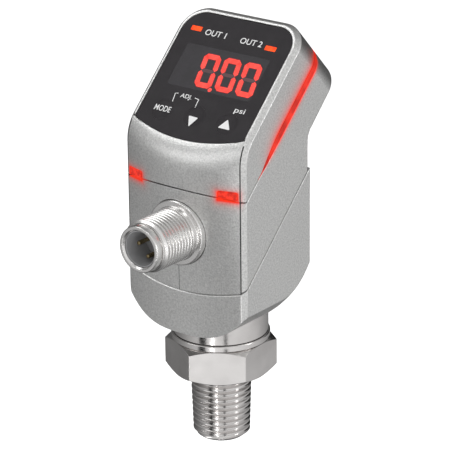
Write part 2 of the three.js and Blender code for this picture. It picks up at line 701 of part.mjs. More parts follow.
function processPort() {
  const corner = HEX_FLATS / Math.sqrt(3);
  const flat = HEX_FLATS / 2 - 0.05;
  const chamfer = 1.02;
  const hexagon = prism(outline(polygonCorners(6, corner, HEX_TURN)), 0, HEX_TOP)
    .intersect(turned([[0, 0], [flat, 0], [corner + 0.02, chamfer],
      [corner + 0.02, HEX_TOP - chamfer], [flat, HEX_TOP], [0, HEX_TOP]], UPRIGHT, 36));
  const neckR = RING_R - NECK_INSET;
  const grooveR = SPINDLE_R - SEAL_GROOVE.depth;
  const retainerR = SPINDLE_R - RETAINER_GROOVE.depth;
  const stem = turned([
    ...threadProfile(), [THREAD_R - THREAD_DEPTH, 0.5], [neckR, 0.5],
    [neckR, HEX_TOP + RING_FOOT], [RING_R, HEX_TOP + RING_FOOT], [RING_R, RING_TOP],
    [SPINDLE_R, RING_TOP], [SPINDLE_R, SEAL_GROOVE.low], [grooveR, SEAL_GROOVE.low],
    [grooveR, SEAL_GROOVE.high], [SPINDLE_R, SEAL_GROOVE.high],
    [SPINDLE_R, RETAINER_GROOVE.low], [retainerR, RETAINER_GROOVE.low],
    [retainerR, RETAINER_GROOVE.high], [SPINDLE_R, RETAINER_GROOVE.high],
    [SPINDLE_R, SPINDLE_TOP], [CELL_BORE_R, SPINDLE_TOP], [CELL_BORE_R, CELL_POCKET_Z],
    [CELL_SEAT_R, CELL_POCKET_Z], [CELL_SEAT_R, CELL_SEAT_Z], [PORT_BORE_R, CELL_SEAT_Z],
    [PORT_BORE_R, -THREAD_LENGTH],
  ], UPRIGHT, PORT_SEGMENTS);
  const bore = turned([[0, -30], [PORT_BORE_R, -30], [PORT_BORE_R, CELL_SEAT_Z],
    [CELL_SEAT_R, CELL_SEAT_Z], [CELL_SEAT_R, CELL_POCKET_Z], [CELL_BORE_R, CELL_POCKET_Z],
    [CELL_BORE_R, 30], [0, 30]], UPRIGHT, PORT_SEGMENTS);
  return hexagon.subtract(bore).add(stem).subtract(stopPin(0.1));
}

function stopPin(grow = 0) {
  const axis = movedFrame(FORWARD, 0, STOP_Z, 0);
  return turned(diskProfile(0.6 + grow, -SPINDLE_R - 1.2, -SPINDLE_R + 1.3 + grow), axis, 12);
}

function swivelCollar() {
  const tube = turned(ringProfile(SPINDLE_R + RUNNING_GAP, COLLAR_R, RING_TOP + 0.1, COLLAR_TOP),
    UPRIGHT, 32);
  const body = blockUnder((x, y) => keelHeight(x, y) - 0.1, 12, 12);
  return tube.intersect(body);
}

function ventPlug() {
  const rear = 0.2 - LOWER_BACK_Y;
  const edge = 0.4;
  const profile = [[0, rear], [VENT.r - edge, rear], [VENT.r, rear + edge],
    [VENT.r, rear + VENT.depth], [0, rear + VENT.depth]];
  return turned(profile, movedFrame(FORWARD, 0, VENT.z, 0), 24);
}

// Screw with a socket head, its head at `rear` on the frame's axis and its tip ahead of it.
function socketScrew(frame, rear) {
  const profile = [[0, rear], [SCREW_HEAD_R, rear], [SCREW_HEAD_R, rear + SCREW_HEAD_HEIGHT],
    [SCREW_SHANK_R, rear + SCREW_HEAD_HEIGHT], [SCREW_SHANK_R, SCREW_TIP], [0, SCREW_TIP]];
  const socket = prism(outline(polygonCorners(6, SCREW_SHANK_R, 0)), rear - 1, rear + 1, frame);
  return turned(profile, frame, 24).subtract(socket);
}

// ---------------------------------------------------------------- assembly
const object = new THREE.Group();

function place(name, solid, look) {
  const { vertProperties, triVerts, numProp } = solid.getMesh();
  const positions = [];
  for (let i = 0; i < vertProperties.length; i += numProp) {
    positions.push(vertProperties[i], vertProperties[i + 1], vertProperties[i + 2]);
  }
  const geometry = new THREE.BufferGeometry();
  geometry.setAttribute('position', new THREE.Float32BufferAttribute(positions, 3));
  geometry.setIndex(Array.from(triVerts));
  geometry.computeVertexNormals();
  const mesh = new THREE.Mesh(geometry, new THREE.MeshStandardMaterial(look));
  mesh.name = name;
  object.add(mesh);
}

const upright = (profile) => turned(profile, UPRIGHT, 24);
const spindleRing = (inner, outer, low, high) =>
  upright(ringProfile(SPINDLE_R + inner, SPINDLE_R + outer, low, high));

// Port and what it carries
place('process_port', processPort(), FINISH.steel);
place('pressure_cell', upright(diskProfile(CELL_R, ...CELL_LEVELS)), FINISH.ceramic);
place('cell_seal', upright(ringProfile(CELL_SEAT_R + 0.1, CELL_R, ...SEAL_LEVELS)), FINISH.rubber);
place('cell_clamp_ring', upright(ringProfile(CLAMP_HOLE_R, CELL_R, ...CLAMP_LEVELS)), FINISH.steel);
place('sensor_board', upright(diskProfile(CELL_R - 0.2, ...SENSOR_BOARD_LEVELS)), FINISH.board);
place('spindle_seal', spindleRing(-0.95, 0.08, SEAL_GROOVE.low + 0.2, SEAL_GROOVE.high - 0.2),
  FINISH.rubber);
place('retaining_ring', spindleRing(-0.6, 1.2, RETAINER_GROOVE.low + 0.1, RETAINER_GROOVE.high - 0.1),
  FINISH.steel);
place('swivel_stop_pin', stopPin(), FINISH.steel);

// Head shells and seals
place('wave_washer', spindleRing(RUNNING_GAP, 1.2, FLOOR_Z + 0.1, RETAINER_GROOVE.low - 0.05),
  FINISH.steel);
place('swivel_collar', swivelCollar(), FINISH.steel);
place('lower_housing', lowerHousing(), FINISH.casting);
place('upper_housing', upperHousing(), FINISH.casting);
place('front_cover', frontCover(), FINISH.casting);
place('lower_gasket', lowerGasket(), FINISH.rubber);
place('cover_gasket', coverGasket(), FINISH.rubber);
place('vent_plug', ventPlug(), FINISH.black);

// Lights, panel, display and keys
place('light_guide', lightGuide(), FINISH.light);
place('display_panel', displayPanel(), FINISH.panel);
place('display_window', windowBlock(0, PANEL_H - PANEL_THICK, PANEL_H - 0.02), FINISH.lens);
place('digit_module', windowBlock(-0.7, BOARD_H + 0.05, PANEL_H - PANEL_THICK - 0.1), FINISH.black);
place('display_board', displayBoard(), FINISH.board);
for (const [side, word] of [[-1, 'left'], [1, 'right']]) {
  place(`light_window_${word}`, lightWindow(side), FINISH.light);
  place(`output_lamp_${word}`, lampBox(side, 0, LAMP_FOOT_H, PANEL_H + 0.02), FINISH.lamp);
  place(`status_led_${word}`, statusLed(side), FINISH.ceramic);
}
KEY_NAMES.forEach((word, index) => {
  place(`key_${word}`, keyCap(index), FINISH.panel);
  place(`switch_${word}`, tactSwitch(index), FINISH.black);
});

// Inner electronics
const mainBoard = rect(-MAIN_BOARD.half, MAIN_BOARD.low, MAIN_BOARD.half, MAIN_BOARD.high, 0.5);
place('main_board', prism(mainBoard, MAIN_BOARD.rear, MAIN_BOARD.front, FORWARD), FINISH.board);
place('board_flex', ribbon([[2.7, 50], [2.4, 52.6], [0.4, 54.8], [-1.4, 56.9]], 0.3, 9), FINISH.flex);

// Connector
place('connector_shell', connectorShell(), FINISH.nickel);
place('connector_insert', connectorInsert(), FINISH.insert);
const plugSeal = ringProfile(PLUG_THREAD_R + 0.1, PLUG_THREAD_R + 1.2, PLUG_RECESS + 0.1, 14.05);
place('connector_seal', turned(plugSeal, plugFrame, 24), FINISH.rubber);
place('connector_nut', connectorNut(), FINISH.steel);
for (let k = 0; k < 4; k++) place(`contact_pin_${k + 1}`, contactPin(k), FINISH.gold);

// Screws: the cover's from the tilted back, the body's from the rear
for (const [side, word] of [[-1, 'left'], [1, 'right']]) {
  const coverAxis = tiltedAt(side * COVER_SCREW.x, COVER_SCREW.s);
  place(`cover_screw_${word}`, socketScrew(coverAxis, BACK_H + 0.2), FINISH.steel);
  const bodyAxis = movedFrame(FORWARD, side * BODY_SCREW.x, BODY_SCREW.z, 0);
  place(`body_screw_${word}`, socketScrew(bodyAxis, 0.1 - LOWER_BACK_Y), FINISH.steel);
}

export default object;
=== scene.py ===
import json
import math

import bmesh
import bpy
import numpy as np
from mathutils import Matrix, Vector


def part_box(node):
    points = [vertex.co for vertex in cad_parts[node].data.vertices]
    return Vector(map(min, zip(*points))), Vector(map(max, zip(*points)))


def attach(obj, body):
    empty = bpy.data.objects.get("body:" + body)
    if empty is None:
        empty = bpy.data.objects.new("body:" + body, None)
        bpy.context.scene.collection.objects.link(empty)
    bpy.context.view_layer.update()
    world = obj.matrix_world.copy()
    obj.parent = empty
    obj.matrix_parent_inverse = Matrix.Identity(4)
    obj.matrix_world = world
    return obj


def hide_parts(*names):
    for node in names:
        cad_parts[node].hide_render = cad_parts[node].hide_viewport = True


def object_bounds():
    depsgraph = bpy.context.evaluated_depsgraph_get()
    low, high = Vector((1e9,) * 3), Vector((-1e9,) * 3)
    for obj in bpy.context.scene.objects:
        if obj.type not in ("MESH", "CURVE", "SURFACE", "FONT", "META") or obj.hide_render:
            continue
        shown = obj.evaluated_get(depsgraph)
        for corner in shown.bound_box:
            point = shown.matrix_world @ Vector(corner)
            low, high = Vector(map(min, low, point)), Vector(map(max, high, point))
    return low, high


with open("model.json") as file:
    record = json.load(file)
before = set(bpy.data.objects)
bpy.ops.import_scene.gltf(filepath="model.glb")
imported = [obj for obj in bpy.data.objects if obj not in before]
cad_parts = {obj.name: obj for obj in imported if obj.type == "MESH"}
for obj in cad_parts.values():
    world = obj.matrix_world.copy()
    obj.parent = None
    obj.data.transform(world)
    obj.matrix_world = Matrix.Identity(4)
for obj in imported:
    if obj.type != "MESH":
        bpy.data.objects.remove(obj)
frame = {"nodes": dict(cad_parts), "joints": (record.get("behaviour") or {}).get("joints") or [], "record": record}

cad_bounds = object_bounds()

# ---------------- dimensions, in millimetres
MM = 0.001


def node_box(node):
    """Lowest and highest corner of a CAD node, in millimetres."""
    low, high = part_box(node)
    return np.array(low) / MM, np.array(high) / MM


def key_axis():
    """Direction in which the keys stand out of the display face."""
    for joint in frame["joints"]:
        if joint["name"] == "key_down_press":
            return -np.array(joint["axis"], float)
    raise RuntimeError("the record has no key joint")


COS, SIN = -key_axis()[1], key_axis()[2]
CORNER_Y = -11.46
CORNER_Z = 46.26
HALF = node_box("upper_housing")[1][0]
WALL = 2.0
GAP = 0.1
LOWER_GAP = 0.06
LOWER_PROUD = 0.06
EDGE_Y = -12.46
EDGE_BEVEL = 1.0
REACH = HALF - EDGE_BEVEL
CROWN_LOW, CROWN_TOP = 2.0, 2.85
CROWN_LOW_Z, CROWN_TOP_Z = 26.0, 49.5
HEAD_FOOT_Z = 8
HEAD_STATIONS = (HEAD_FOOT_Z, 17, 26, 34, 42, CROWN_TOP_Z)
LOWER_STATIONS, LOWER_TOP_Z = (CROWN_LOW_Z, 34, 42, 50), 60
FACE_H = 9.1
BACK_H = -8.35
TOP_S = 39.9
TOP_CORNER_R = 6.5
BROW_R = 9.0
NAPE_R = 4.0
CROWN_BACK_R = 2.2
MIDDLE_BACK_Y = 10.7
LOWER_BACK_Y = node_box("lower_housing")[1][1] - 0.35
LOWER_PART_Z = 26.11
KEEL_Z = node_box("lower_housing")[0][2]
KEEL_SIDE_RISE, KEEL_SIDE_POWER = 6.6, 3.2
KEEL_BACK_RISE, KEEL_BACK_POWER = 6.0, 2.5
FLOOR_Z, FLOOR_WALL = 19.6, 1.8
# Seam strips are dark strips of painted groove shade: how far they stand proud and sink in, their widths and tops
SEAM_PROUD, SEAM_DEPTH = 0.012, 0.4
SIDE_SEAM_W, SIDE_SEAM_TOP_Z = 0.24, 58.8
FRONT_SEAM_W, FRONT_SEAM_TOP_Z = 0.1, 29.4
PANEL_H = 8.92
PANEL_THICK = 0.6
PANEL_HALF = node_box("display_panel")[1][0]
PANEL_LOW_S, PANEL_LOW_RISE = 7.15, 2.85
PANEL_TOP_S = 38.1
PANEL_CORNER_R = 5.2
KEY_S = 13.0
KEY_R = 2.6
KEY_STEM_R, KEY_FOOT_H = 0.9, 5.95
KEY_FLANGE_R, KEY_FLANGE_LOW, KEY_FLANGE_HIGH = 3.2, 6.3, 6.75
KEY_RING_RADII, KEY_RING_RISE = (1.9, 2.02, 2.12, 2.2), 0.025
PRINT_THICK, PRINT_CLEAR = 0.04, 0.06
KEYS = {name: sum(node_box(f"key_{name}"))[0] / 2 for name in ("mode", "down", "up")}
WINDOW = {"half": node_box("display_window")[1][0], "low": 19.2, "high": 30.0}
SIDES = {-1: "left", 1: "right"}
LAMP = {"half": 1.45, "rise": 0.58, -1: (-11.15, 33.85), 1: (9.85, 32.7)}
LAMP_FOOT_H, LAMP_PROUD = 4.2, 0.04
STRIP_START_S, STRIP_FULL_S, STRIP_H = 7.3, 19.0, 1.28
STRIP_LOW_H = -0.35
LIGHT_WINDOW = {"inner": 10.45, "outer": 14.9, "low": 44, "top": 48.6, "rear": 11.2}
# Painted red light on the casting near the strip and the windows: its colour, the metal's tint, and how it fades
GLOW = {"colour": (1.0, 0.05, 0.02, 1), "metal": (0.55, 0.02, 0.01), "strip_fade": 0.95,
        "window_fade": 1.7, "window_z": 47.3, "window_half_z": 0.9, "front": (11.4, 12.4)}
PLUG_Z = sum(node_box("connector_shell"))[2] / 2
PLUG_MOUTH = -node_box("connector_shell")[0][1]
PLUG_SEAT = 15.0
PLUG_POCKET, PLUG_OPENING = 13.3, 9
PLUG_REAR = 8.4
PLUG_CUP_DEPTH = 8.6
PLUG_LEAD_R = 5.3
PLUG_SINK = 0.85
PLUG_THREAD_R = 6.0
PLUG_BORE_R = 4.12
PLUG_FLANGE_R = node_box("connector_shell")[1][0]
PLUG_PITCH, PLUG_THREAD_DEPTH = 1.0, 0.6
INSERT_REAR, INSERT_DEPTH, INSERT_RIM, INSERT_FLOOR = 7.4, 8.75, 0.7, 1.6
PIN_CIRCLE_R, PIN_R, PIN_REAR, PIN_SHORT = 2.5, 0.5, 5, 3
COVER_SCREW_S = 34.2
SCREW_HEAD_R, SCREW_HEAD_H, SCREW_R, SCREW_TIP = 2.1, 1.3, 1.1, 4.6
SOCKET_R, SOCKET_DEPTH = 1.15, 0.95
SCREW_RECESS_R, SCREW_RECESS_DEPTH = 2.25, 1.4
VENT_HOLE_R, VENT_CIRCLE_R = 0.3, 1.6
HEX_FLATS = 22.0
HEX_TOP = 7.9
HEX_CHAMFER = 1.02
HEX_TURN = math.radians(-86.3)
RING_R, RING_TOP = 11.19, 9.45
NECK_INSET, NECK_H = 0.7, 0.17
COLLAR_R = node_box("swivel_collar")[1][0]
COLLAR_TOP = 22
SPINDLE_R = 7.8
SPINDLE_TOP = 23.6
SPINDLE_GROOVES = ((16.5, 18.2, 1.05), (20.25, 21.15, 0.7))
STOP_PIN_R, STOP_PIN_Z = 0.7, 22.4
THREAD_LENGTH = -node_box("process_port")[0][2]
THREAD_R = 6.95
THREAD_PITCH = 25.4 / 18
THREAD_TAPER = 1 / 32
THREAD_DEPTH = 0.85
THREAD_END_R = 5.25
BORE_R = 2.0
CELL_SEAT_R, CELL_SEAT_Z = 4.7, 7.2
CELL_POCKET_R, CELL_POCKET_Z = 6, 8.4


# ---------------- frames and outlines
def axes(x_axis, y_axis, z_axis, origin=(0, 0, 0)):
    matrix = np.eye(4)
    matrix[:3, 0], matrix[:3, 1], matrix[:3, 2], matrix[:3, 3] = x_axis, y_axis, z_axis, origin
    return matrix


UPRIGHT = axes((1, 0, 0), (0, 1, 0), (0, 0, 1))
SIDEWAYS = axes((0, 1, 0), (0, 0, 1), (1, 0, 0))
FORWARD = axes((1, 0, 0), (0, 0, 1), (0, -1, 0))
TILTED = axes((1, 0, 0), (0, SIN, COS), (0, -COS, SIN), (0, CORNER_Y, CORNER_Z))


def moved(base, x, y, z=0.0):
    shift = np.eye(4)
    shift[:3, 3] = (x, y, z)
    return base @ shift


PLUG = moved(FORWARD, 0, PLUG_Z)


def placed(base, points):
    points = np.asarray(points, float)
    return points @ base[:3, :3].T + base[:3, 3]


def yz(s, h):
    """Side view point s along the display face from its front edge, and h out of its plane."""
    return (CORNER_Y + s * SIN - h * COS, CORNER_Z + s * COS + h * SIN)


def arc_corner(before, corner, after, radius, steps):
    """Points of the arc that rounds a corner."""
    before, corner, after = (np.array(p, float) for p in (before, corner, after))
    back = (before - corner) / np.linalg.norm(before - corner)
    ahead = (after - corner) / np.linalg.norm(after - corner)
    opening = math.acos(max(-1.0, min(1.0, float(back @ ahead))))
    middle = back + ahead
    centre = corner + middle / np.linalg.norm(middle) * radius / math.sin(opening / 2)
    start = corner + back * radius / math.tan(opening / 2) - centre
    turn = math.pi - opening
    if back[0] * ahead[1] - back[1] * ahead[0] > 0:
        turn = -turn
    points = []
    for k in range(steps + 1):
        c, s = math.cos(turn * k / steps), math.sin(turn * k / steps)
        points.append(centre + (start[0] * c - start[1] * s, start[0] * s + start[1] * c))
    return points


def outline(corners, steps=8, closed=True):
    """Corner points (x, y[, radius]) as a polyline with round corners."""
    points = []
    count = len(corners)
    for index, corner in enumerate(corners):
        inner = closed or 0 < index < count - 1
        if len(corner) < 3 or corner[2] <= 0 or not inner:
            points.append(np.array(corner[:2], float))
            continue
        before, after = corners[index - 1], corners[(index + 1) % count]
        points += arc_corner(before[:2], corner[:2], after[:2], corner[2], steps)
    return points


def rect(x0, y0, x1, y1, radius=0.0, steps=8):
    return outline([(x0, y0, radius), (x1, y0, radius), (x1, y1, radius), (x0, y1, radius)], steps)


def round_points(count, radius, turn=0.0):
    """Points spread evenly on a circle."""
    angles = [turn + k * 2 * math.pi / count for k in range(count)]
    return [(radius * math.cos(angle), radius * math.sin(angle)) for angle in angles]


def with_level(points, level):
    return [(p[0], p[1], level) for p in points]


# ---------------- meshes
def linked(name, data):
    """A new object in the scene."""
    obj = bpy.data.objects.new(name, data)
    bpy.context.scene.collection.objects.link(obj)
    return obj


def mesh_object(name, vertices, faces):
    mesh = bpy.data.meshes.new(name)
    mesh.from_pydata([tuple(v) for v in np.asarray(vertices, float) * MM], [], faces)
    obj = linked(name, mesh)
    clean(obj)
    return obj


def clean(obj, distance=1e-4, fill=False):
    """Merges coincident points, closes open ends if asked, and turns every face outwards."""
    bm = bmesh.new()
    bm.from_mesh(obj.data)
    bmesh.ops.remove_doubles(bm, verts=bm.verts, dist=distance * MM)
    bmesh.ops.dissolve_degenerate(bm, edges=bm.edges, dist=distance * MM)
    if fill:
        rims = [edge for edge in bm.edges if edge.is_boundary]
        bmesh.ops.holes_fill(bm, edges=rims, sides=0)
    bmesh.ops.recalc_face_normals(bm, faces=bm.faces)
    bm.to_mesh(obj.data)
    bm.free()


def loft(name, loops, base=UPRIGHT):
    """Loops of equal length joined by walls, with flat ends."""
    count = len(loops[0])
    vertices = [v for loop in loops for v in placed(base, loop)]
    faces = []
    for row in range(len(loops) - 1):
        for k in range(count):
            a, b = row * count + k, row * count + (k + 1) % count
            faces.append((a, b, b + count, a + count))
    last = (len(loops) - 1) * count
    faces.append(tuple(reversed(range(count))))
    faces.append(tuple(range(last, last + count)))
    return mesh_object(name, vertices, faces)


def prism(name, points, low, high, base=UPRIGHT):
    return loft(name, [with_level(points, low), with_level(points, high)], base)


def turned(name, profile, base=UPRIGHT, segments=96):
    """Solid of revolution; a profile off the axis closes on itself as a ring."""
    ring = min(profile[0][0], profile[-1][0]) > 0
    rows = len(profile)
    vertices = []
    for radius, z in profile:
        for k in range(segments):
            angle = 2 * math.pi * k / segments
            vertices.append((radius * math.cos(angle), radius * math.sin(angle), z))
    faces = []
    for row in range(rows if ring else rows - 1):
        below, above = row * segments, (row + 1) % rows * segments
        for k in range(segments):
            m = (k + 1) % segments
            faces.append((below + k, below + m, above + m, above + k))
    return mesh_object(name, placed(base, vertices), faces)


def disk(name, radius, low, high, base=UPRIGHT, segments=96):
    return turned(name, [(0, low), (radius, low), (radius, high), (0, high)], base, segments)


def evaluated_mesh(obj):
    graph = bpy.context.evaluated_depsgraph_get()
    return bpy.data.meshes.new_from_object(obj.evaluated_get(graph))


def apply_modifiers(obj):
    mesh = evaluated_mesh(obj)
    obj.modifiers.clear()
    obj.data = mesh


def combine(obj, *steps):
    """Boolean steps ('+', '-' or '&', tool); each tool is used up."""
    kinds = {"+": "UNION", "-": "DIFFERENCE", "&": "INTERSECT"}
    for sign, tool in steps:
        modifier = obj.modifiers.new("step", "BOOLEAN")
        modifier.operation = kinds[sign]
        modifier.solver = "MANIFOLD"
        modifier.object = tool
    apply_modifiers(obj)
    for _, tool in steps:
        bpy.data.objects.remove(tool)
    return obj


def smooth(obj, angle=32):
    """Smooth shading with sharp edges above the angle, flat faces kept flat."""
    mesh = obj.data
    mesh.polygons.foreach_set("use_smooth", [True] * len(mesh.polygons))
    mesh.set_sharp_from_angle(angle=math.radians(angle))
    modifier = obj.modifiers.new("normals", "WEIGHTED_NORMAL")
    modifier.keep_sharp = True
    apply_modifiers(obj)
    return obj


def soften(obj, width=0.16, segments=2, angle=28):
    """Small rounds on every edge."""
    clean(obj, 0.03)
    modifier = obj.modifiers.new("rounds", "BEVEL")
    modifier.width = width * MM
    modifier.segments = segments
    modifier.limit_method = "ANGLE"
    modifier.angle_limit = math.radians(angle)
    modifier.use_clamp_overlap = False
    modifier.miter_outer = "MITER_ARC"
    apply_modifiers(obj)
    return smooth(obj, 40)


def finish_piece(obj, body, slot, material, *nodes):
    obj.data.materials.clear()
    obj.data.materials.append(material)
    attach(obj, body)
    if nodes:
        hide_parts(*nodes)


# ---------------- head envelope
def crown(z):
    share = min(1.0, max(0.0, (z - CROWN_LOW_Z) / (CROWN_TOP_Z - CROWN_LOW_Z)))
    return CROWN_LOW + (CROWN_TOP - CROWN_LOW) * share


def front_y(x, z):
    return EDGE_Y - crown(z) * (1 - min(1.0, abs(x) / REACH) ** 2)


def edge_columns(shrink, fine):
    """Stations (x, depth) across the head; the depth grows over the bevel at each side."""
    side = HALF - shrink
    reach = side - EDGE_BEVEL
    if fine:
        corners = [(reach - 1, 0), (reach, 0, 0.45), (side, EDGE_BEVEL, 0.3), (side, EDGE_BEVEL + 1)]
        edge = outline(corners, 3, closed=False)[1:-1]
    else:
        edge = [(reach, 0), (side, EDGE_BEVEL)]
    steps = 26 if fine else 8
    inner = edge[0][0]
    middle = [(inner * (2 * k / steps - 1), 0.0) for k in range(1, steps)]
    left = [(-x, depth) for x, depth in reversed(edge)]
    return left + middle + [(x, depth) for x, depth in edge]


def head_loop(x, depth, shrink):
    """Side view outline of the upper head in the plane at x."""
    face = FACE_H - shrink - depth
    back_h, back_y = BACK_H + shrink, MIDDLE_BACK_Y - shrink
    top = TOP_S - shrink
    front = [(front_y(x, z) + depth + shrink, z) for z in HEAD_STATIONS]
    low_y = front[-1][0]
    brow_z = CORNER_Z + (face + (low_y - CORNER_Y) * COS) / SIN
    nape_z = CORNER_Z + (back_h + (back_y - CORNER_Y) * COS) / SIN
    brow = arc_corner(front[-1], (low_y, brow_z), yz(top, face), BROW_R - shrink - depth, 14)
    crown_back = arc_corner(yz(top, face), yz(top, back_h), (back_y, nape_z), CROWN_BACK_R, 8)
    foot = (back_y, HEAD_FOOT_Z)
    nape = arc_corner(yz(top, back_h), (back_y, nape_z), foot, NAPE_R + shrink, 10)
    return [*front, *brow, yz(top, face), *crown_back, *nape, foot]


def top_outline(inset):
    """Outline of the head seen square on to the display; its straight sides lie just outside."""
    side = HALF + 0.02
    radius = TOP_CORNER_R - inset
    top = TOP_S - inset
    inner = side - inset
    return outline([(-inner, -60), (inner, -60), (inner, top, radius), (-inner, top, radius)], 16)


def top_block():
    """Rounded top corners with a bevel round the display face."""
    corners = [(0, FACE_H - 3), (0, FACE_H - EDGE_BEVEL, 0.3), (EDGE_BEVEL, FACE_H, 0.45),
               (4, FACE_H)]
    edge = outline(corners, 3, closed=False)[1:-1]
    loops = [with_level(top_outline(0), -70), *[with_level(top_outline(i), h) for i, h in edge]]
    loops.append(with_level(top_outline(edge[-1][0] - 0.02), FACE_H + 0.05))
    return loft("top_block", loops, TILTED)


def across_head(name, shrink, fine, side_view):
    """Side view outlines joined from the left to the right of the head."""
    loops = []
    for x, depth in edge_columns(shrink, fine):
        loops.append([(x, y, z) for y, z in side_view(x, depth, shrink)])
    return loft(name, loops)


def head_solid(shrink=0.0, fine=True):
    """The upper head, made smaller all round by shrink; not fine is for hollows."""
    solid = across_head("head", shrink, fine, head_loop)
    if fine:
        combine(solid, ("&", top_block()))
    return solid


def arch(x):
    return max(0.0, 1 - (x / HALF) ** 2)


def above_cover(offset):
    """Space above the cover's parting surface: an arch over the front, then the tilted plane."""
    loops = []
    for x in np.linspace(-20, 20, 41):
        start = CORNER_Z + arch(x) + offset
        loops.append([(x, -45, start), (x, CORNER_Y, start), (x, CORNER_Y, CORNER_Z + offset / SIN),
                      (x, *yz(80, offset)), (x, yz(80, 0)[0], 160), (x, -45, 160)])
    return loft("above_cover", loops)


def below_parting(offset):
    """Space below the lower parting plane."""
    shift = offset - (CORNER_Z - LOWER_PART_Z) * SIN
    return prism("below_parting", rect(-60, -90, 60, 90), shift - 90, shift, TILTED)


def strip_band(trim, low):
    """Band of the light strip, thin in front and full above."""
    top = []
    for share in np.linspace(0, 1, 24):
        s = STRIP_START_S + (STRIP_FULL_S - STRIP_START_S) * share
        top.append(yz(s + trim, STRIP_H * (1 - (1 - share) ** 2) - trim))
    far = TOP_S + 6
    points = [yz(STRIP_START_S + trim - 1.5, 0), yz(STRIP_START_S + 2, low), yz(far, low),
              yz(far, STRIP_H - trim), *reversed(top)]
    return prism("strip_band", points, -25, 25, SIDEWAYS)


def light_block(side, trim):
    w = LIGHT_WINDOW
    x0, x1 = sorted((side * (w["inner"] + trim), side * (w["outer"] - trim)))
    return prism("light_block", rect(x0, w["low"], x1, w["top"] - trim, 0.3, 4), w["rear"], 20, FORWARD)


def panel_outline(grow):
    side = PANEL_HALF + grow
    low = []
    for x in np.linspace(-side, side, 33):
        low.append((x, PANEL_LOW_S + PANEL_LOW_RISE * (x / side) ** 2 - grow))
    radius = PANEL_CORNER_R + grow
    return outline([*low, (side, PANEL_TOP_S + grow, radius), (-side, PANEL_TOP_S + grow, radius)], 14)


def key_holes(radius, low, count):
    return [("-", disk("hole", radius, low, 20, moved(TILTED, x, KEY_S), count)) for x in KEYS.values()]


# ---------------- shells
def front_cover():
    cover = head_solid()
    keys = key_holes(KEY_R + 0.3, 3, 48)
    lights = [("-", light_block(side, 0)) for side in SIDES]
    combine(cover, ("&", above_cover(GAP)), ("-", head_solid(WALL, fine=False)),
            ("-", prism("recess", panel_outline(0.12), PANEL_H - PANEL_THICK - 0.05, 20, TILTED)),
            ("-", strip_band(-0.04, -1)), *lights, *keys)
    return soften(cover, width=0.17)


def seam_shade_piece(x, width, high):
    """Thin dark strip of painted groove shade in the fine line between the front plate and the bevel, or below the
    plug.
    """
    bead = prism("seam_shade", rect(x - width / 2, EDGE_Y - 4, x + width / 2, -2), LOWER_PART_Z - 6, high)
    return smooth(combine(bead, ("&", head_solid(-SEAM_PROUD)), ("-", head_solid(SEAM_DEPTH)),
                          ("-", below_parting(LOWER_GAP + 0.05))))


def upper_housing():
    housing = head_solid()
    cavity = combine(head_solid(WALL, fine=False), ("-", above_cover(GAP)))
    seat = disk("seat", PLUG_FLANGE_R + 0.03, PLUG_POCKET, 20, PLUG)
    combine(housing, ("-", above_cover(-GAP)), ("-", below_parting(LOWER_GAP)), ("-", cavity),
            ("-", strip_band(-0.04, STRIP_LOW_H)), ("-", seat),
            ("-", disk("bore", PLUG_THREAD_R + 0.2, PLUG_OPENING, 20, PLUG)), *screw_recesses("cover"))
    return soften(housing, width=0.22)


def keel(x, y):
    """Height of the dished underside."""
    return (KEEL_Z + KEEL_SIDE_RISE * (abs(x) / HALF) ** KEEL_SIDE_POWER
            + KEEL_BACK_RISE * (max(0.0, y) / LOWER_BACK_Y) ** KEEL_BACK_POWER)


def lower_loop(x, depth, shrink, floor=keel):
    """Side view outline of the lower housing in the plane at x."""
    back = LOWER_BACK_Y - shrink
    low_y = front_y(x, CROWN_LOW_Z) + depth + shrink
    under = [(y, floor(x, y)) for y in np.linspace(back, low_y, 22)]
    front = [(front_y(x, z) + depth + shrink, z) for z in LOWER_STATIONS]
    return [*under, *front, (back, LOWER_TOP_Z)]


def hollow_loop(x, depth, shrink):
    """Side view outline of the lower housing's hollow, with a flat floor in the middle."""
    return lower_loop(x, depth, shrink, lambda x, y: max(FLOOR_Z, keel(x, y) + FLOOR_WALL))


def lower_housing():
    housing = across_head("lower", -LOWER_PROUD, True, lower_loop)
    cavity = across_head("lower", WALL, False, hollow_loop)
    vent = disk("vent", node_box("vent_plug")[1][0] + 0.12, -20, -8, moved(FORWARD, 0, vent_z()), 64)
    combine(housing, ("&", below_parting(-LOWER_GAP)), ("-", cavity), ("-", vent),
            ("-", disk("bore", SPINDLE_R + 0.15, 0, 30)), *screw_recesses("body"))
    return soften(housing, width=0.15)


def screw_frame(kind, side):
    """Frame on a screw's axis, its third axis pointing from head to tip, and the head's level."""
    low, high = node_box(f"{kind}_screw_{SIDES[side]}")
    if kind == "body":
        return moved(FORWARD, (low[0] + high[0]) / 2, (low[2] + high[2]) / 2), -high[1]
    return moved(TILTED, (low[0] + high[0]) / 2, COVER_SCREW_S), BACK_H + 0.2


def screw_recesses(kind):
    steps = []
    for side in SIDES:
        base, rear = screw_frame(kind, side)
        steps.append(("-", disk("recess", SCREW_RECESS_R, -20, rear + SCREW_RECESS_DEPTH, base, 48)))
    return steps


def vent_z():
    return sum(node_box("vent_plug"))[2] / 2


# ---------------- lights and display
def light_guide():
    guide = head_solid(0.03)
    combine(guide, ("&", strip_band(0.03, STRIP_LOW_H + 0.04)), ("-", head_solid(WALL, fine=False)))
    return soften(guide, 0.08, 1)


def light_window(side):
    pane = head_solid(0.05)
    combine(pane, ("&", light_block(side, 0.08)), ("&", above_cover(0.25)),
            ("-", head_solid(WALL, fine=False)))
    return soften(pane, 0.08, 1)


def panel_piece():
    panel = prism("display_film", panel_outline(0), PANEL_H - PANEL_THICK, PANEL_H, TILTED)
    steps = key_holes(KEY_R + 0.03, 0, 64)
    steps.append(("-", prism("hole", window_outline(0), 0, 20, TILTED)))
    for side in SIDES:
        steps.append(("-", lamp_block(side, 0.04, 0, 20)))
    return smooth(combine(panel, *steps))


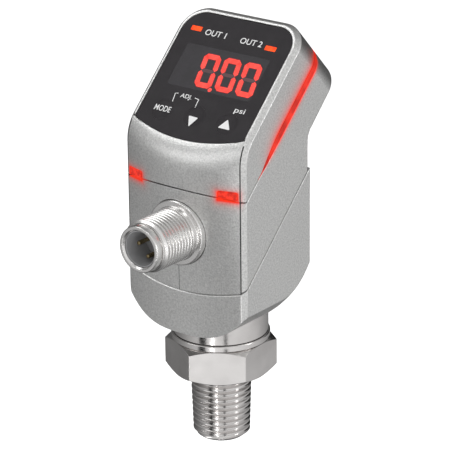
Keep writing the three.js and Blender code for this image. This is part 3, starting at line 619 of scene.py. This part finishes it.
def window_outline(inset):
    w = WINDOW
    return rect(-w["half"] + inset, w["low"] + inset, w["half"] - inset, w["high"] - inset, 0.6)


def window_piece():
    return smooth(prism("window_lens", window_outline(0.02), PANEL_H - PANEL_THICK, PANEL_H, TILTED))


def lamp_block(side, grow, low, high):
    w, r = LAMP["half"] + grow, LAMP["rise"] + grow
    x, s = LAMP[side]
    return prism("lamp", rect(x - w, s - r, x + w, s + r, 0.2, 4), low, high, TILTED)


def key_piece(name):
    """Key cap flush with the film, with a faint raised ring round its touch point."""
    profile = [(0, KEY_FOOT_H), (KEY_STEM_R, KEY_FOOT_H), (KEY_STEM_R, KEY_FLANGE_LOW),
               (KEY_FLANGE_R, KEY_FLANGE_LOW), (KEY_FLANGE_R, KEY_FLANGE_HIGH), (KEY_R, KEY_FLANGE_HIGH)]
    inner, crest_inner, crest_outer, outer = KEY_RING_RADII
    crest = PANEL_H + KEY_RING_RISE
    top = [(KEY_R, PANEL_H), (outer, PANEL_H), (crest_outer, crest), (crest_inner, crest),
           (inner, PANEL_H), (0, PANEL_H)]
    return smooth(turned(f"key_cap_{name}", profile + top, moved(TILTED, KEYS[name], KEY_S), 64), 50)


# Seven-segment digits before they lean; gap shortens every bar, and split the upright ones
DIGIT = {"width": 4.65, "height": 8.3, "bar": 1.2, "gap": 0.5, "split": 0.42, "lean": -0.14}
DIGIT_S = 24.25
DIGIT_X = (-2.65, 2.95, 8.55)
DOT = {"x": 0.26, "s": 19.95, "radius": 0.5}
LIT = {"top", "bottom", "top_left", "top_right", "bottom_left", "bottom_right"}


def bar_points(length, bar):
    """A bar with pointed ends, along x, centred on the origin."""
    half, tip = length / 2, bar / 2
    return [(-half, 0), (-half + tip, -tip), (half - tip, -tip), (half, 0), (half - tip, tip),
            (-half + tip, tip)]


def segments():
    """Name to (centre, upright, length) of the seven bars."""
    d = DIGIT
    w, h = (d["width"] - d["bar"]) / 2, (d["height"] - d["bar"]) / 2
    flat = {"top": (0, h), "middle": (0, 0), "bottom": (0, -h)}
    tall = {"top_left": (-w, h / 2), "top_right": (w, h / 2),
            "bottom_left": (-w, -h / 2), "bottom_right": (w, -h / 2)}
    trim = d["split"]
    rows = {name: (centre, 0, 2 * w) for name, centre in flat.items()}
    for name, (x, y) in tall.items():
        rows[name] = ((x, y + math.copysign(trim / 2, y)), 1, h - trim)
    return rows


def digit_segments(name, middle, lit, grow=0.0, rise=0.015):
    """The lit or the unlit bars of one digit, laid on the window."""
    pieces = []
    for word, (centre, upright, length) in segments().items():
        if (word in LIT) != lit:
            continue
        bar = bar_points(length + DIGIT["bar"] - DIGIT["gap"] + grow, DIGIT["bar"] + grow)
        if upright:
            bar = [(-y, x) for x, y in bar]
        points = []
        for x, y in bar:
            u, v = x + centre[0], y + centre[1]
            points.append((middle + u + DIGIT["lean"] * v, DIGIT_S + v))
        pieces.append(prism(f"{name}_{word}", points, PANEL_H - 0.1, PANEL_H + rise, TILTED))
    return join(name, pieces)


def join(name, pieces):
    """One object from several separate solids."""
    bm = bmesh.new()
    for piece in pieces:
        bm.from_mesh(piece.data)
        bpy.data.objects.remove(piece)
    mesh = bpy.data.meshes.new(name)
    bm.to_mesh(mesh)
    bm.free()
    return linked(name, mesh)


# ---------------- legends
CAPITAL_SHARE = 0.72
BRACKET = {"left": [(-7.5, 15.3), (-7.85, 17.4), (-7.1, 17.55)],
           "right": [(-2.3, 17.3), (-1.2, 17.1), (-1.1, 15.1)], "width": 0.2}


def text_piece(name, words, x, s, height, width):
    """Raised print on the display film; x, s is the lower left corner."""
    curve = bpy.data.curves.new(name, "FONT")
    curve.body = words
    curve.size = 1.0
    curve.offset = 0.004
    curve.extrude = 0.004
    curve.resolution_u = 4
    text = linked(name, curve)
    mesh = evaluated_mesh(text)
    bpy.data.objects.remove(text)
    co = np.zeros(len(mesh.vertices) * 3)
    mesh.vertices.foreach_get("co", co)
    co = co.reshape(-1, 3)
    low, high = co.min(0), co.max(0)
    co = co - low
    co[:, :2] *= height / (CAPITAL_SHARE if "p" in words else high[1] - low[1])
    co[:, 0] *= width / co[:, 0].max()
    co[:, 2] = (co[:, 2] / co[:, 2].max() - 0.5) * PRINT_THICK
    co = placed(moved(TILTED, x, s, PANEL_H + PRINT_THICK / 2), co) * MM
    mesh.vertices.foreach_set("co", co.ravel())
    return linked(name, mesh)


def stroke(points, width, name):
    """A flat line of even width through display points."""
    left, right = [], []
    for k, p in enumerate(points):
        before, after = points[max(0, k - 1)], points[min(len(points) - 1, k + 1)]
        along = np.array(after, float) - np.array(before, float)
        along /= np.linalg.norm(along)
        normal = np.array((-along[1], along[0])) * width / 2
        left.append(np.array(p) + normal)
        right.append(np.array(p) - normal)
    return prism(name, left + right[::-1], PANEL_H - 0.05, PANEL_H + 0.012, TILTED)


def beside_cap(mark, key, keep="-"):
    """A printed mark that ends at the edge of a key's cap; keep "&" leaves what lies on the cap."""
    radius = KEY_R + (PRINT_CLEAR if keep == "-" else -PRINT_CLEAR)
    cap = disk("cap_edge", radius, PANEL_H - 1, PANEL_H + 1, moved(TILTED, KEYS[key], KEY_S))
    return combine(mark, (keep, cap))


def legends(material):
    b = BRACKET
    pieces = [
        text_piece("legend_out_1", "OUT 1", -8.4, 32.7, 1.45, 5.7),
        text_piece("legend_out_2", "OUT 2", 1.45, 32.45, 1.45, 5.9),
        text_piece("legend_adj", "ADJ.", -6.2, 16.4, 1.35, 3.05),
        text_piece("legend_unit", "psi", 8.95, 15.7, 1.3, 2.75),
        beside_cap(stroke(b["left"], b["width"], "legend_bracket_left"), "mode"),
        beside_cap(stroke(b["right"], b["width"], "legend_bracket_right"), "down"),
    ]
    for piece in pieces:
        finish_piece(piece, "head", "panel_film", material)
    down = outline([(-1.55, 12.95, 0.15), (-0.28, 10.35, 0.15), (1.05, 12.85, 0.15)], 4)
    up = outline([(7.0, 11.75, 0.15), (10.2, 11.75, 0.15), (8.55, 14.1, 0.15)], 4)
    for name, points in (("down", down), ("up", up)):
        mark = prism(f"legend_{name}", points, PANEL_H - 0.01, PANEL_H + 0.042, TILTED)
        finish_piece(mark, f"key_{name}", "panel_film", material)
    end = beside_cap(stroke(b["right"], b["width"], "legend_bracket_end"), "down", "&")
    finish_piece(end, "key_down", "panel_film", material)
    mode = text_piece("legend_mode", "MODE", -11.2, 12.5, 1.42, 4.4)
    finish_piece(mode, "key_mode", "panel_film", material)


# ---------------- threads, port and plug
LEAD_SLOPE = 1.2
# One turn of a thread: share of the pitch, and share of the depth that is missing there
THREAD_SHAPE = ((0.0, 1.0), (0.08, 1.0), (0.37, 0.0), (0.63, 0.0), (0.92, 1.0))


def threaded(start, end, pitch, crest_at, depth, base, end_radius, segments=96):
    """A rod with a helical thread, closed at both ends and chamfered to end_radius there."""
    rows = []
    for turn in range(-2, int((end - start) / pitch) + 3):
        rows += [(turn + share, lack) for share, lack in THREAD_SHAPE]
    vertices = []
    for level, lack in rows:
        for k in range(segments):
            z = start + pitch * (level + k / segments)
            z = min(end, max(start, z))
            radius = crest_at(z) - depth * lack
            chamfer = end_radius + min(z - start, end - z) * LEAD_SLOPE
            radius = min(radius, chamfer) if chamfer < crest_at(z) else radius
            angle = 2 * math.pi * k / segments
            vertices.append((radius * math.cos(angle), radius * math.sin(angle), z))
    faces = []
    for row in range(len(rows) - 1):
        for k in range(segments):
            step = 0 if k < segments - 1 else len(THREAD_SHAPE)
            m = (k + 1) % segments
            if row + 1 + step >= len(rows):
                continue
            a, b = row * segments + k, (row + step) * segments + m
            faces.append((a, b, b + segments, a + segments))
    obj = mesh_object("thread", placed(base, vertices), faces)
    clean(obj, 1e-3, fill=True)
    return obj


def hexagon():
    corner = HEX_FLATS / math.sqrt(3)
    flat, past = HEX_FLATS / 2 - 0.1, corner + 0.03
    barrel = [(0, 0), (flat, 0), (past, HEX_CHAMFER), (past, HEX_TOP - HEX_CHAMFER), (flat, HEX_TOP),
              (0, HEX_TOP)]
    nut = prism("hexagon", round_points(6, corner, HEX_TURN), 0, HEX_TOP)
    return combine(nut, ("&", turned("barrel", barrel, segments=192)))


def process_port():
    port = soften(hexagon(), 0.1, 2, 20)
    neck, foot = RING_R - NECK_INSET, HEX_TOP + NECK_H
    stem = [(0, 0.6), (neck, 0.6), (neck, foot)]
    ring = outline([(neck, foot), (RING_R, foot, 0.12), (RING_R, RING_TOP, 0.3), (SPINDLE_R, RING_TOP)],
                   3, closed=False)
    upper = []
    for low, high, depth in SPINDLE_GROOVES:
        upper += [(SPINDLE_R, low), (SPINDLE_R - depth, low), (SPINDLE_R - depth, high), (SPINDLE_R, high)]
    upper += [(SPINDLE_R, SPINDLE_TOP), (0, SPINDLE_TOP)]
    body = turned("stem", stem + ring[1:] + upper, segments=128)
    thread = threaded(-THREAD_LENGTH, 0.3, THREAD_PITCH, lambda z: THREAD_R + z * THREAD_TAPER,
                      THREAD_DEPTH, UPRIGHT, THREAD_END_R)
    bore = [(0, -30), (BORE_R, -30), (BORE_R, CELL_SEAT_Z), (CELL_SEAT_R, CELL_SEAT_Z),
            (CELL_SEAT_R, CELL_POCKET_Z), (CELL_POCKET_R, CELL_POCKET_Z), (CELL_POCKET_R, 30), (0, 30)]
    combine(port, ("+", body), ("+", thread), ("-", turned("bore", bore, segments=64)),
            ("-", disk("pin_hole", STOP_PIN_R, -9.1, -6, moved(FORWARD, 0, STOP_PIN_Z), 24)))
    port.name = "port_body"
    return smooth(port, 30)


def swivel_collar():
    section = rect(SPINDLE_R + 0.15, RING_TOP + 0.1, COLLAR_R, COLLAR_TOP, 0.12, 2)
    collar = turned("collar", section, segments=128)
    loops = []
    for x in np.linspace(-12, 12, 33):
        edge = [(x, y, keel(x, y) - 0.08) for y in np.linspace(-12, 12, 33)]
        loops.append([*edge, (x, 12, -10), (x, -12, -10)])
    return smooth(combine(collar, ("&", loft("under", loops))))


def plug_shell():
    mouth, seat, lead, bore, crest = PLUG_MOUTH, PLUG_SEAT, PLUG_LEAD_R, PLUG_BORE_R, PLUG_THREAD_R
    cup, sink = mouth - PLUG_CUP_DEPTH, seat - PLUG_SINK
    profile = outline([
        (bore, cup), (bore, mouth - 0.4, 0.15), (bore + 0.4, mouth, 0.15),
        (lead - 0.05, mouth, 0.25), (lead, mouth - 1.7, 0.2), (lead - 0.45, mouth - 1.9, 0.1),
        (lead - 0.45, mouth - 2.3), (crest - 1.05, mouth - 2.4), (crest - 1.05, seat + 1.9),
        (crest + 0.1, seat + 1.8, 0.12), (crest + 0.1, seat + 0.7, 0.15),
        (PLUG_FLANGE_R - 0.05, seat + 0.7, 0.3), (PLUG_FLANGE_R, sink, 0.1), (crest, sink),
        (crest, PLUG_REAR), (bore + 0.9, PLUG_REAR), (bore + 0.9, cup)], 4)
    shell = turned("plug_body", profile, PLUG)
    thread = threaded(seat + 1.7, mouth - 2.0, PLUG_PITCH, lambda z: crest, PLUG_THREAD_DEPTH, PLUG,
                      crest - 0.65)
    combine(thread, ("-", disk("hollow", bore + 0.02, 5, 40, PLUG)))
    return smooth(combine(shell, ("+", thread)), 30)


def pin_piece(spot):
    tip = PLUG_MOUTH - PIN_SHORT
    profile = outline([(0, PIN_REAR), (PIN_R, PIN_REAR), (PIN_R, tip, 0.3), (0, tip)], 5, closed=False)
    return smooth(turned("plug_pin", profile, moved(PLUG, *spot), 32), 50)


def insert_piece():
    front = PLUG_MOUTH - INSERT_DEPTH
    wall, rim, floor = PLUG_BORE_R - 0.04, PLUG_MOUTH - INSERT_RIM, front + INSERT_FLOOR
    foot = PLUG_BORE_R + 0.75
    profile = [(0, INSERT_REAR), (foot, INSERT_REAR), (foot, front), (wall, front), (wall, rim),
               (wall - 0.18, rim), (wall - 0.2, floor), (0, floor)]
    insert = turned("plug_insert", profile, PLUG)
    steps = []
    for spot in round_points(4, PIN_CIRCLE_R):
        steps.append(("-", disk("hole", PIN_R + 0.03, 4, 30, moved(PLUG, *spot), 32)))
    return smooth(combine(insert, *steps))


def screw_piece(kind, side):
    base, rear = screw_frame(kind, side)
    head = rear + SCREW_HEAD_H
    profile = outline([(0, rear), (SCREW_HEAD_R, rear, 0.25), (SCREW_HEAD_R, head), (SCREW_R, head),
                       (SCREW_R, SCREW_TIP), (0, SCREW_TIP)], 4, closed=False)
    socket = prism("socket", round_points(6, SOCKET_R), rear - 1, rear + SOCKET_DEPTH, base)
    return smooth(combine(turned("screw", profile, base, 64), ("-", socket)))


def vent_piece():
    r, rear = node_box("vent_plug")[1][0], -node_box("vent_plug")[1][1]
    profile = outline([(0, rear + 0.5), (0.5, rear + 0.5), (0.5, rear), (r, rear, 0.4), (r, rear + 2),
                       (0, rear + 2)], 4, closed=False)
    vent = turned("vent_cap", profile, moved(FORWARD, 0, vent_z()), 64)
    steps = []
    for x, z in round_points(6, VENT_CIRCLE_R):
        base = moved(FORWARD, x, vent_z() + z)
        steps.append(("-", disk("hole", VENT_HOLE_R, rear - 1, rear + 1.2, base, 16)))
    return smooth(combine(vent, *steps))


# ---------------- materials
def map_range(tree, value, source, target):
    """The value scaled so that the source range becomes the target range."""
    node = tree.nodes.new("ShaderNodeMapRange")
    for name, number in zip(("From Min", "From Max", "To Min", "To Max"), (*source, *target)):
        node.inputs[name].default_value = number
    tree.links.new(value, node.inputs["Value"])
    return node.outputs["Result"]


class Nodes:
    """Short way to build a node tree."""

    def __init__(self, name):
        self.material = bpy.data.materials.new(name)
        self.material.use_nodes = True
        self.tree = self.material.node_tree
        self.shader = self.tree.nodes["Principled BSDF"]
        self.place = self.new("TexCoord").outputs["Object"]

    def new(self, kind):
        return self.tree.nodes.new("ShaderNode" + kind)

    def feed(self, socket, value):
        """Links an output to the socket, or sets the socket to a plain value."""
        if isinstance(value, bpy.types.NodeSocket):
            self.tree.links.new(value, socket)
        else:
            socket.default_value = value

    def set(self, **values):
        for key, value in values.items():
            self.feed(self.shader.inputs[key.replace("_", " ").title().replace("Ior", "IOR")], value)

    def math(self, operation, a, b=0.0, c=0.0):
        node = self.new("Math")
        node.operation = operation
        for socket, value in zip(node.inputs, (a, b, c)):
            self.feed(socket, value)
        return node.outputs[0]

    def noise(self, scale, detail=3.0, roughness=0.55, stretch=(1, 1, 1)):
        """Noise whose grain is `scale` per millimetre."""
        mapping = self.new("Mapping")
        mapping.inputs["Scale"].default_value = tuple(scale / MM * k for k in stretch)
        self.tree.links.new(self.place, mapping.inputs["Vector"])
        node = self.new("TexNoise")
        values = {"Vector": mapping.outputs[0], "Scale": 1.0, "Detail": detail, "Roughness": roughness}
        for name, value in values.items():
            self.feed(node.inputs[name], value)
        return node.outputs["Fac"]

    def span(self, value, low, high, start=0.3, stop=0.7):
        return map_range(self.tree, value, (start, stop), (low, high))

    def fade(self, distance, rate):
        """1 at no distance, and less and less away from it."""
        return self.math("POWER", 2.718, self.math("MULTIPLY", distance, -rate))

    def ramp(self, value, dark, light):
        node = self.new("ValToRGB")
        for element, place, colour in zip(node.color_ramp.elements, (0.3, 0.7), (dark, light)):
            element.position = place
            element.color = (*colour, 1)
        self.tree.links.new(value, node.inputs["Fac"])
        return node.outputs["Color"]

    def tint(self, colour, target, amount):
        """The colour moved towards the target by the amount."""
        node = self.new("Mix")
        node.data_type = "RGBA"
        for index, value in ((0, amount), (6, colour), (7, (*target, 1))):
            self.feed(node.inputs[index], value)
        return node.outputs[2]

    def bump(self, height, distance, strength=1.0):
        node = self.new("Bump")
        for name, value in {"Strength": strength, "Distance": distance * MM, "Height": height}.items():
            self.feed(node.inputs[name], value)
        self.tree.links.new(node.outputs["Normal"], self.shader.inputs["Normal"])
        return self

    def dot(self, origin, direction):
        """Distance from a plane, in millimetres."""
        shift = self.new("VectorMath")
        shift.operation = "SUBTRACT"
        shift.inputs[1].default_value = tuple(np.array(origin) * MM)
        self.tree.links.new(self.place, shift.inputs[0])
        node = self.new("VectorMath")
        node.operation = "DOT_PRODUCT"
        node.inputs[1].default_value = tuple(np.array(direction) / MM)
        self.tree.links.new(shift.outputs[0], node.inputs[0])
        return node.outputs["Value"]


def strip_glow(n, across):
    """Painted red light beside the light strip, on the head's sides and over its top."""
    h = n.dot((0, CORNER_Y, CORNER_Z), (0, -COS, SIN))
    s = n.dot((0, CORNER_Y, CORNER_Z), (0, SIN, COS))
    share = n.math("MINIMUM", n.math("MAXIMUM", n.span(s, 1, 0, STRIP_START_S, STRIP_FULL_S), 0), 1)
    top = n.math("MULTIPLY", n.math("SUBTRACT", 1, n.math("POWER", share, 2)), STRIP_H)
    above = n.math("MAXIMUM", n.math("SUBTRACT", h, top), 0)
    below = n.math("MULTIPLY", n.math("MAXIMUM", n.math("SUBTRACT", STRIP_LOW_H, h), 0), 3)
    glow = n.fade(n.math("ADD", above, below), GLOW["strip_fade"])
    glow = n.math("MULTIPLY", glow, n.span(s, 0, 1, STRIP_START_S + 0.5, STRIP_FULL_S - 3))
    outer = n.span(across, 0, 1, HALF - 1.5, HALF - 0.7)
    over = n.span(s, 0, 1, TOP_S - 1, TOP_S - 0.4)
    return n.math("MULTIPLY", glow, n.math("MAXIMUM", outer, over))


def window_glow(n, across):
    """Painted red light round the two light windows, on the front only."""
    middle = (LIGHT_WINDOW["inner"] + LIGHT_WINDOW["outer"]) / 2
    half = (LIGHT_WINDOW["outer"] - LIGHT_WINDOW["inner"]) / 2
    squares = []
    for place, centre, reach in ((across, middle, half),
                                 (n.dot((0, 0, 0), (0, 0, 1)), GLOW["window_z"], GLOW["window_half_z"])):
        past = n.math("SUBTRACT", n.math("ABSOLUTE", n.math("SUBTRACT", place, centre)), reach)
        squares.append(n.math("POWER", n.math("MAXIMUM", past, 0), 2))
    spread = n.math("SQRT", n.math("ADD", *squares))
    front = n.span(n.dot((0, 0, 0), (0, -1, 0)), 0, 1, *GLOW["front"])
    return n.math("MULTIPLY", n.fade(spread, GLOW["window_fade"]), front)


def casting():
    """Bead-blasted die casting, with the strip's and the windows' red light painted into its colour and emission.
    """
    n = Nodes("casting")
    broad, grain = n.noise(0.05, 2), n.noise(2.6, 4, 0.7)
    metal = n.ramp(grain, (0.50, 0.50, 0.495), (0.81, 0.81, 0.80))
    n.set(metallic=0.95, roughness=n.span(broad, 0.29, 0.36))
    n.bump(grain, 0.075, 0.75)
    across = n.math("ABSOLUTE", n.dot((0, 0, 0), (1, 0, 0)))
    total = n.math("MAXIMUM", strip_glow(n, across), window_glow(n, across))
    painted_glow_tint = n.math("MINIMUM", n.math("MULTIPLY", total, 1.1), 1)
    n.set(base_color=n.tint(metal, GLOW["metal"], painted_glow_tint), emission_color=GLOW["colour"],
          emission_strength=n.math("MULTIPLY", total, 0.7))
    return n.material


def stainless():
    n = Nodes("stainless")
    lines = n.noise(9, 2, 0.6, (0.15, 0.15, 1.0))
    broad = n.noise(0.12, 2)
    n.set(base_color=n.ramp(broad, (0.62, 0.60, 0.59), (0.74, 0.72, 0.71)), metallic=1.0,
          roughness=n.span(lines, 0.13, 0.24))
    return n.bump(lines, 0.006, 0.35).material


def nickel():
    n = Nodes("nickel")
    fine = n.noise(2.5, 3)
    n.set(base_color=n.ramp(n.noise(0.2), (0.72, 0.71, 0.70), (0.80, 0.79, 0.78)), metallic=1.0,
          roughness=n.span(fine, 0.17, 0.27))
    return n.bump(fine, 0.008, 0.4).material


def plastic(name, dark, light, roughness, grain=4.0, depth=0.008, specular=0.3):
    n = Nodes(name)
    fine = n.noise(grain, 3)
    n.set(base_color=n.ramp(n.noise(0.3), dark, light), roughness=n.span(fine, *roughness),
          specular_ior_level=specular)
    return n.bump(fine, depth, 0.4).material


def glowing(name, colour, core, strength, grain=0.7):
    """Plastic that is lit from inside, a little uneven."""
    n = Nodes(name)
    uneven = n.noise(grain, 2)
    n.set(base_color=n.ramp(uneven, tuple(0.25 * c for c in colour), tuple(0.4 * c for c in colour)),
          roughness=0.45, specular_ior_level=0.25,
          emission_color=n.ramp(uneven, colour, core),
          emission_strength=n.span(uneven, 0.85 * strength, 1.1 * strength))
    return n.bump(uneven, 0.004, 0.3).material


def gold():
    n = Nodes("gold")
    fine = n.noise(3, 2)
    n.set(base_color=n.ramp(fine, (0.24, 0.19, 0.10), (0.36, 0.29, 0.16)), metallic=1.0,
          roughness=n.span(fine, 0.25, 0.35))
    return n.bump(fine, 0.004, 0.3).material


def materials():
    return {
        "casting": casting(),
        "stainless": stainless(),
        "nickel": nickel(),
        "contact_gold": gold(),
        "panel_film": plastic("film", (0.024, 0.0215, 0.024), (0.030, 0.027, 0.030), (0.34, 0.42),
                              specular=0.12),
        "window_lens": plastic("lens", (0.030, 0.028, 0.031), (0.037, 0.034, 0.039), (0.22, 0.28),
                               specular=0.12),
        # This dark look also paints the shade of the fine grooves on the seam strips
        "seal_rubber": plastic("seal", (0.02, 0.02, 0.02), (0.035, 0.035, 0.035), (0.6, 0.75)),
        "insert_plastic": plastic("insert", (0.27, 0.27, 0.275), (0.32, 0.32, 0.325), (0.45, 0.6)),
        "black_plastic": plastic("black", (0.025, 0.025, 0.028), (0.04, 0.04, 0.044), (0.4, 0.55)),
        "circuit_board": plastic("board", (0.01, 0.10, 0.04), (0.02, 0.16, 0.06), (0.3, 0.45)),
        "ceramic": plastic("ceramic", (0.74, 0.72, 0.66), (0.86, 0.84, 0.78), (0.45, 0.6)),
        "flex_film": plastic("flex", (0.35, 0.16, 0.04), (0.5, 0.24, 0.07), (0.3, 0.4)),
        "light_red": glowing("light_red", (0.62, 0.014, 0.005), (0.9, 0.035, 0.012), 0.68, 0.35),
        "lamp_orange": glowing("lamp_orange", (1.0, 0.045, 0.003), (1.0, 0.11, 0.01), 1.05),
        "digit": glowing("digit", (1.0, 0.06, 0.045), (1.0, 0.085, 0.065), 0.95),
        "digit_halo": glowing("digit_halo", (0.16, 0.012, 0.012), (0.22, 0.016, 0.016), 1.0),
        "unlit": plastic("unlit", (0.085, 0.036, 0.04), (0.11, 0.045, 0.05), (0.3, 0.4)),
        "light_pane": glowing("light_pane", (0.55, 0.012, 0.005), (0.95, 0.045, 0.018), 0.85, 1.1),
        "print": plastic("print", (0.86, 0.86, 0.86), (0.93, 0.93, 0.93), (0.5, 0.6)),
    }


# ---------------- assembly
def paint_cad(look):
    slots = {row["node"]: row["material_slot"] for row in frame["record"]["subparts"]}
    for name, obj in frame["nodes"].items():
        obj.data.materials.clear()
        obj.data.materials.append(look[slots[name]])


def build(look):
    def piece(obj, name, slot, *nodes, body="head"):
        obj.name = name
        finish_piece(obj, body, slot, look[slot], *nodes)

    piece(front_cover(), "cover_shell", "casting", "front_cover")
    piece(upper_housing(), "middle_shell", "casting", "upper_housing")
    piece(lower_housing(), "lower_shell", "casting", "lower_housing")
    piece(light_guide(), "light_strip", "light_red", "light_guide")
    piece(panel_piece(), "display_film", "panel_film", "display_panel")
    piece(window_piece(), "window_lens", "window_lens", "display_window")
    piece(process_port(), "port_body", "stainless", "process_port", body="port")
    piece(swivel_collar(), "collar_ring", "stainless", "swivel_collar")
    piece(plug_shell(), "plug_shell", "nickel", "connector_shell")
    piece(insert_piece(), "plug_insert", "insert_plastic", "connector_insert")
    piece(vent_piece(), "vent_cap", "black_plastic", "vent_plug")
    for k, spot in enumerate(round_points(4, PIN_CIRCLE_R), 1):
        piece(pin_piece(spot), f"plug_pin_{k}", "contact_gold", f"contact_pin_{k}")
    for side, word in SIDES.items():
        pane = light_window(side)
        pane.name = f"light_pane_{word}"
        finish_piece(pane, "head", "light_red", look["light_pane"], f"light_window_{word}")
        pane.visible_glossy = False
        # A dark strip in the seal_rubber look paints the shade of the fine groove beside the bevel
        seam_shade = seam_shade_piece(side * REACH, SIDE_SEAM_W, SIDE_SEAM_TOP_Z)
        piece(seam_shade, f"seam_{word}", "seal_rubber")
        lamp = soften(lamp_block(side, 0, LAMP_FOOT_H, PANEL_H + LAMP_PROUD), 0.08)
        piece(lamp, f"lamp_{word}", "lamp_orange", f"output_lamp_{word}")
        for kind in ("cover", "body"):
            screw = screw_piece(kind, side)
            piece(screw, f"{kind}_fastener_{word}", "stainless", f"{kind}_screw_{word}")
    # A dark strip in the seal_rubber look paints the shade of the fine line below the plug
    piece(seam_shade_piece(0, FRONT_SEAM_W, FRONT_SEAM_TOP_Z), "seam_shade_front", "seal_rubber")
    for name in KEYS:
        piece(key_piece(name), f"key_cap_{name}", "panel_film", f"key_{name}", body=f"key_{name}")
    for index, x in enumerate(DIGIT_X, 1):
        lit = digit_segments(f"digit_{index}", x, True)
        finish_piece(lit, "head", "light_red", look["digit"])
        unlit = digit_segments(f"digit_{index}_off", x, False, grow=-0.35)
        finish_piece(unlit, "head", "window_lens", look["unlit"])
        halo = digit_segments(f"digit_{index}_halo", x, True, grow=0.3, rise=0.006)
        finish_piece(halo, "head", "light_red", look["digit_halo"])
    spot = moved(TILTED, DOT["x"], DOT["s"])
    dot = disk("decimal_dot", DOT["radius"], PANEL_H - 0.1, PANEL_H + 0.015, spot, 24)
    finish_piece(dot, "head", "light_red", look["digit"])
    legends(look["print"])


# ---------------- floor, light and camera
AIM = np.array((1.57, 0.0, 34.5))
AZIMUTH, ELEVATION, ROLL = math.radians(38.08), math.radians(20.62), math.radians(-0.64)
DISTANCE = 581.3
LENS = 209.6
FLOOR_DROP, FLOOR_SIDE = 120.0, 8000
STUDIO_DARK, STUDIO_BRIGHT = 0.08, 0.98
STUDIO_LIGHT_FROM = (0.8, -0.5, -0.1)
STUDIO_UNDER, STUDIO_UNDER_Z = 0.15, (-0.95, -0.45)


def camera():
    away = np.array((math.cos(ELEVATION) * math.sin(AZIMUTH), -math.cos(ELEVATION) * math.cos(AZIMUTH),
                     math.sin(ELEVATION)))
    right = np.array((math.cos(AZIMUTH), math.sin(AZIMUTH), 0.0))
    up = np.cross(away, right)
    c, s = math.cos(ROLL), math.sin(ROLL)
    right, up = c * right + s * up, -s * right + c * up
    data = bpy.data.cameras.new("camera")
    data.lens = LENS
    data.sensor_width = 36.0
    obj = linked("camera", data)
    obj.matrix_world = Matrix(axes(right, up, away, (AIM + away * DISTANCE) * MM).tolist())
    bpy.context.scene.camera = obj


def facing(spot, aim):
    """Placement at a spot, turned to face the aim."""
    spot, aim = Vector(spot) * MM, Vector(aim) * MM
    return Matrix.Translation(spot) @ (aim - spot).to_track_quat("-Z", "Y").to_matrix().to_4x4()


def sheet(name, width, height, level, material):
    """A flat rectangle of the stage, which isn't part of the object."""
    obj = mesh_object(name, with_level(rect(-width / 2, -height / 2, width / 2, height / 2), level),
                      [(0, 1, 2, 3)])
    obj.data.materials.append(material)
    return obj


def softbox(name, spot, size, brightness, aim):
    """A rectangular light; brightness is what its face shows, 1 being white."""
    data = bpy.data.lights.new(name, "AREA")
    data.shape = "RECTANGLE"
    data.size, data.size_y = size[0] * MM, size[1] * MM
    data.energy = brightness * math.pi * data.size * data.size_y
    linked(name, data).matrix_world = facing(spot, aim)


def stage():
    n = Nodes("paper")
    n.set(base_color=n.ramp(n.noise(0.02), (0.90, 0.90, 0.90), (0.93, 0.93, 0.93)), roughness=0.9,
          emission_color=(1, 1, 1, 1), emission_strength=0.75)
    floor = sheet("floor", FLOOR_SIDE, FLOOR_SIDE, cad_bounds[0][2] / MM - FLOOR_DROP, n.material)
    floor.visible_glossy = False
    floor.visible_shadow = False
    bpy.context.scene.world = studio()
    bpy.context.scene.view_settings.view_transform = "Standard"
    softbox("softbox_top", (-330, -190, 520), (260, 260), 2.5, (0, 0, 60))
    softbox("softbox_front", (-300, -540, 270), (330, 150), 1.8, (0, -10, 60))
    softbox("softbox_edge", (100, -260, 620), (160, 160), 3.0, (0, 0, 60))
    softbox("softbox_right", (590, 165, 120), (110, 300), 5.0, (0, 0, 40))
    softbox("softbox_strip", (178, -545, -200), (22, 420), 10.0, (0, 0, 0))
    flag("flag_front", (-50, -492, -160), (150, 360))
    flag("flag_back", (-20, 500, 65), (560, 350))
    flag("flag_thread", (428, -364, -300), (80, 200))


def flag(name, spot, size):
    """A black card that the camera doesn't see, with which a photographer darkens metal."""
    n = Nodes("black_card")
    n.set(base_color=n.ramp(n.noise(0.1), (0.01, 0.01, 0.01), (0.015, 0.015, 0.015)), roughness=0.9,
          specular_ior_level=0.0)
    card = sheet(name, *size, 0, n.material)
    card.matrix_world = facing(spot, (0, 0, 20))
    card.visible_camera = False
    card.visible_diffuse = False


def studio():
    """Plain studio surroundings, bright at the front right, dark at the back left and below."""
    world = bpy.data.worlds.new("studio")
    world.use_nodes = True
    tree = world.node_tree
    place = tree.nodes.new("ShaderNodeTexCoord")
    dot = tree.nodes.new("ShaderNodeVectorMath")
    dot.operation = "DOT_PRODUCT"
    dot.inputs[1].default_value = STUDIO_LIGHT_FROM
    split = tree.nodes.new("ShaderNodeSeparateXYZ")
    product = tree.nodes.new("ShaderNodeMath")
    product.operation = "MULTIPLY"
    tree.links.new(place.outputs["Generated"], dot.inputs[0])
    tree.links.new(place.outputs["Generated"], split.inputs[0])
    around = map_range(tree, dot.outputs["Value"], (-1, 1), (STUDIO_DARK, STUDIO_BRIGHT))
    under = map_range(tree, split.outputs["Z"], STUDIO_UNDER_Z, (STUDIO_UNDER, 1))
    tree.links.new(around, product.inputs[0])
    tree.links.new(under, product.inputs[1])
    tree.links.new(product.outputs[0], tree.nodes["Background"].inputs["Color"])
    return world


camera()
look = materials()
paint_cad(look)
build(look)
stage()
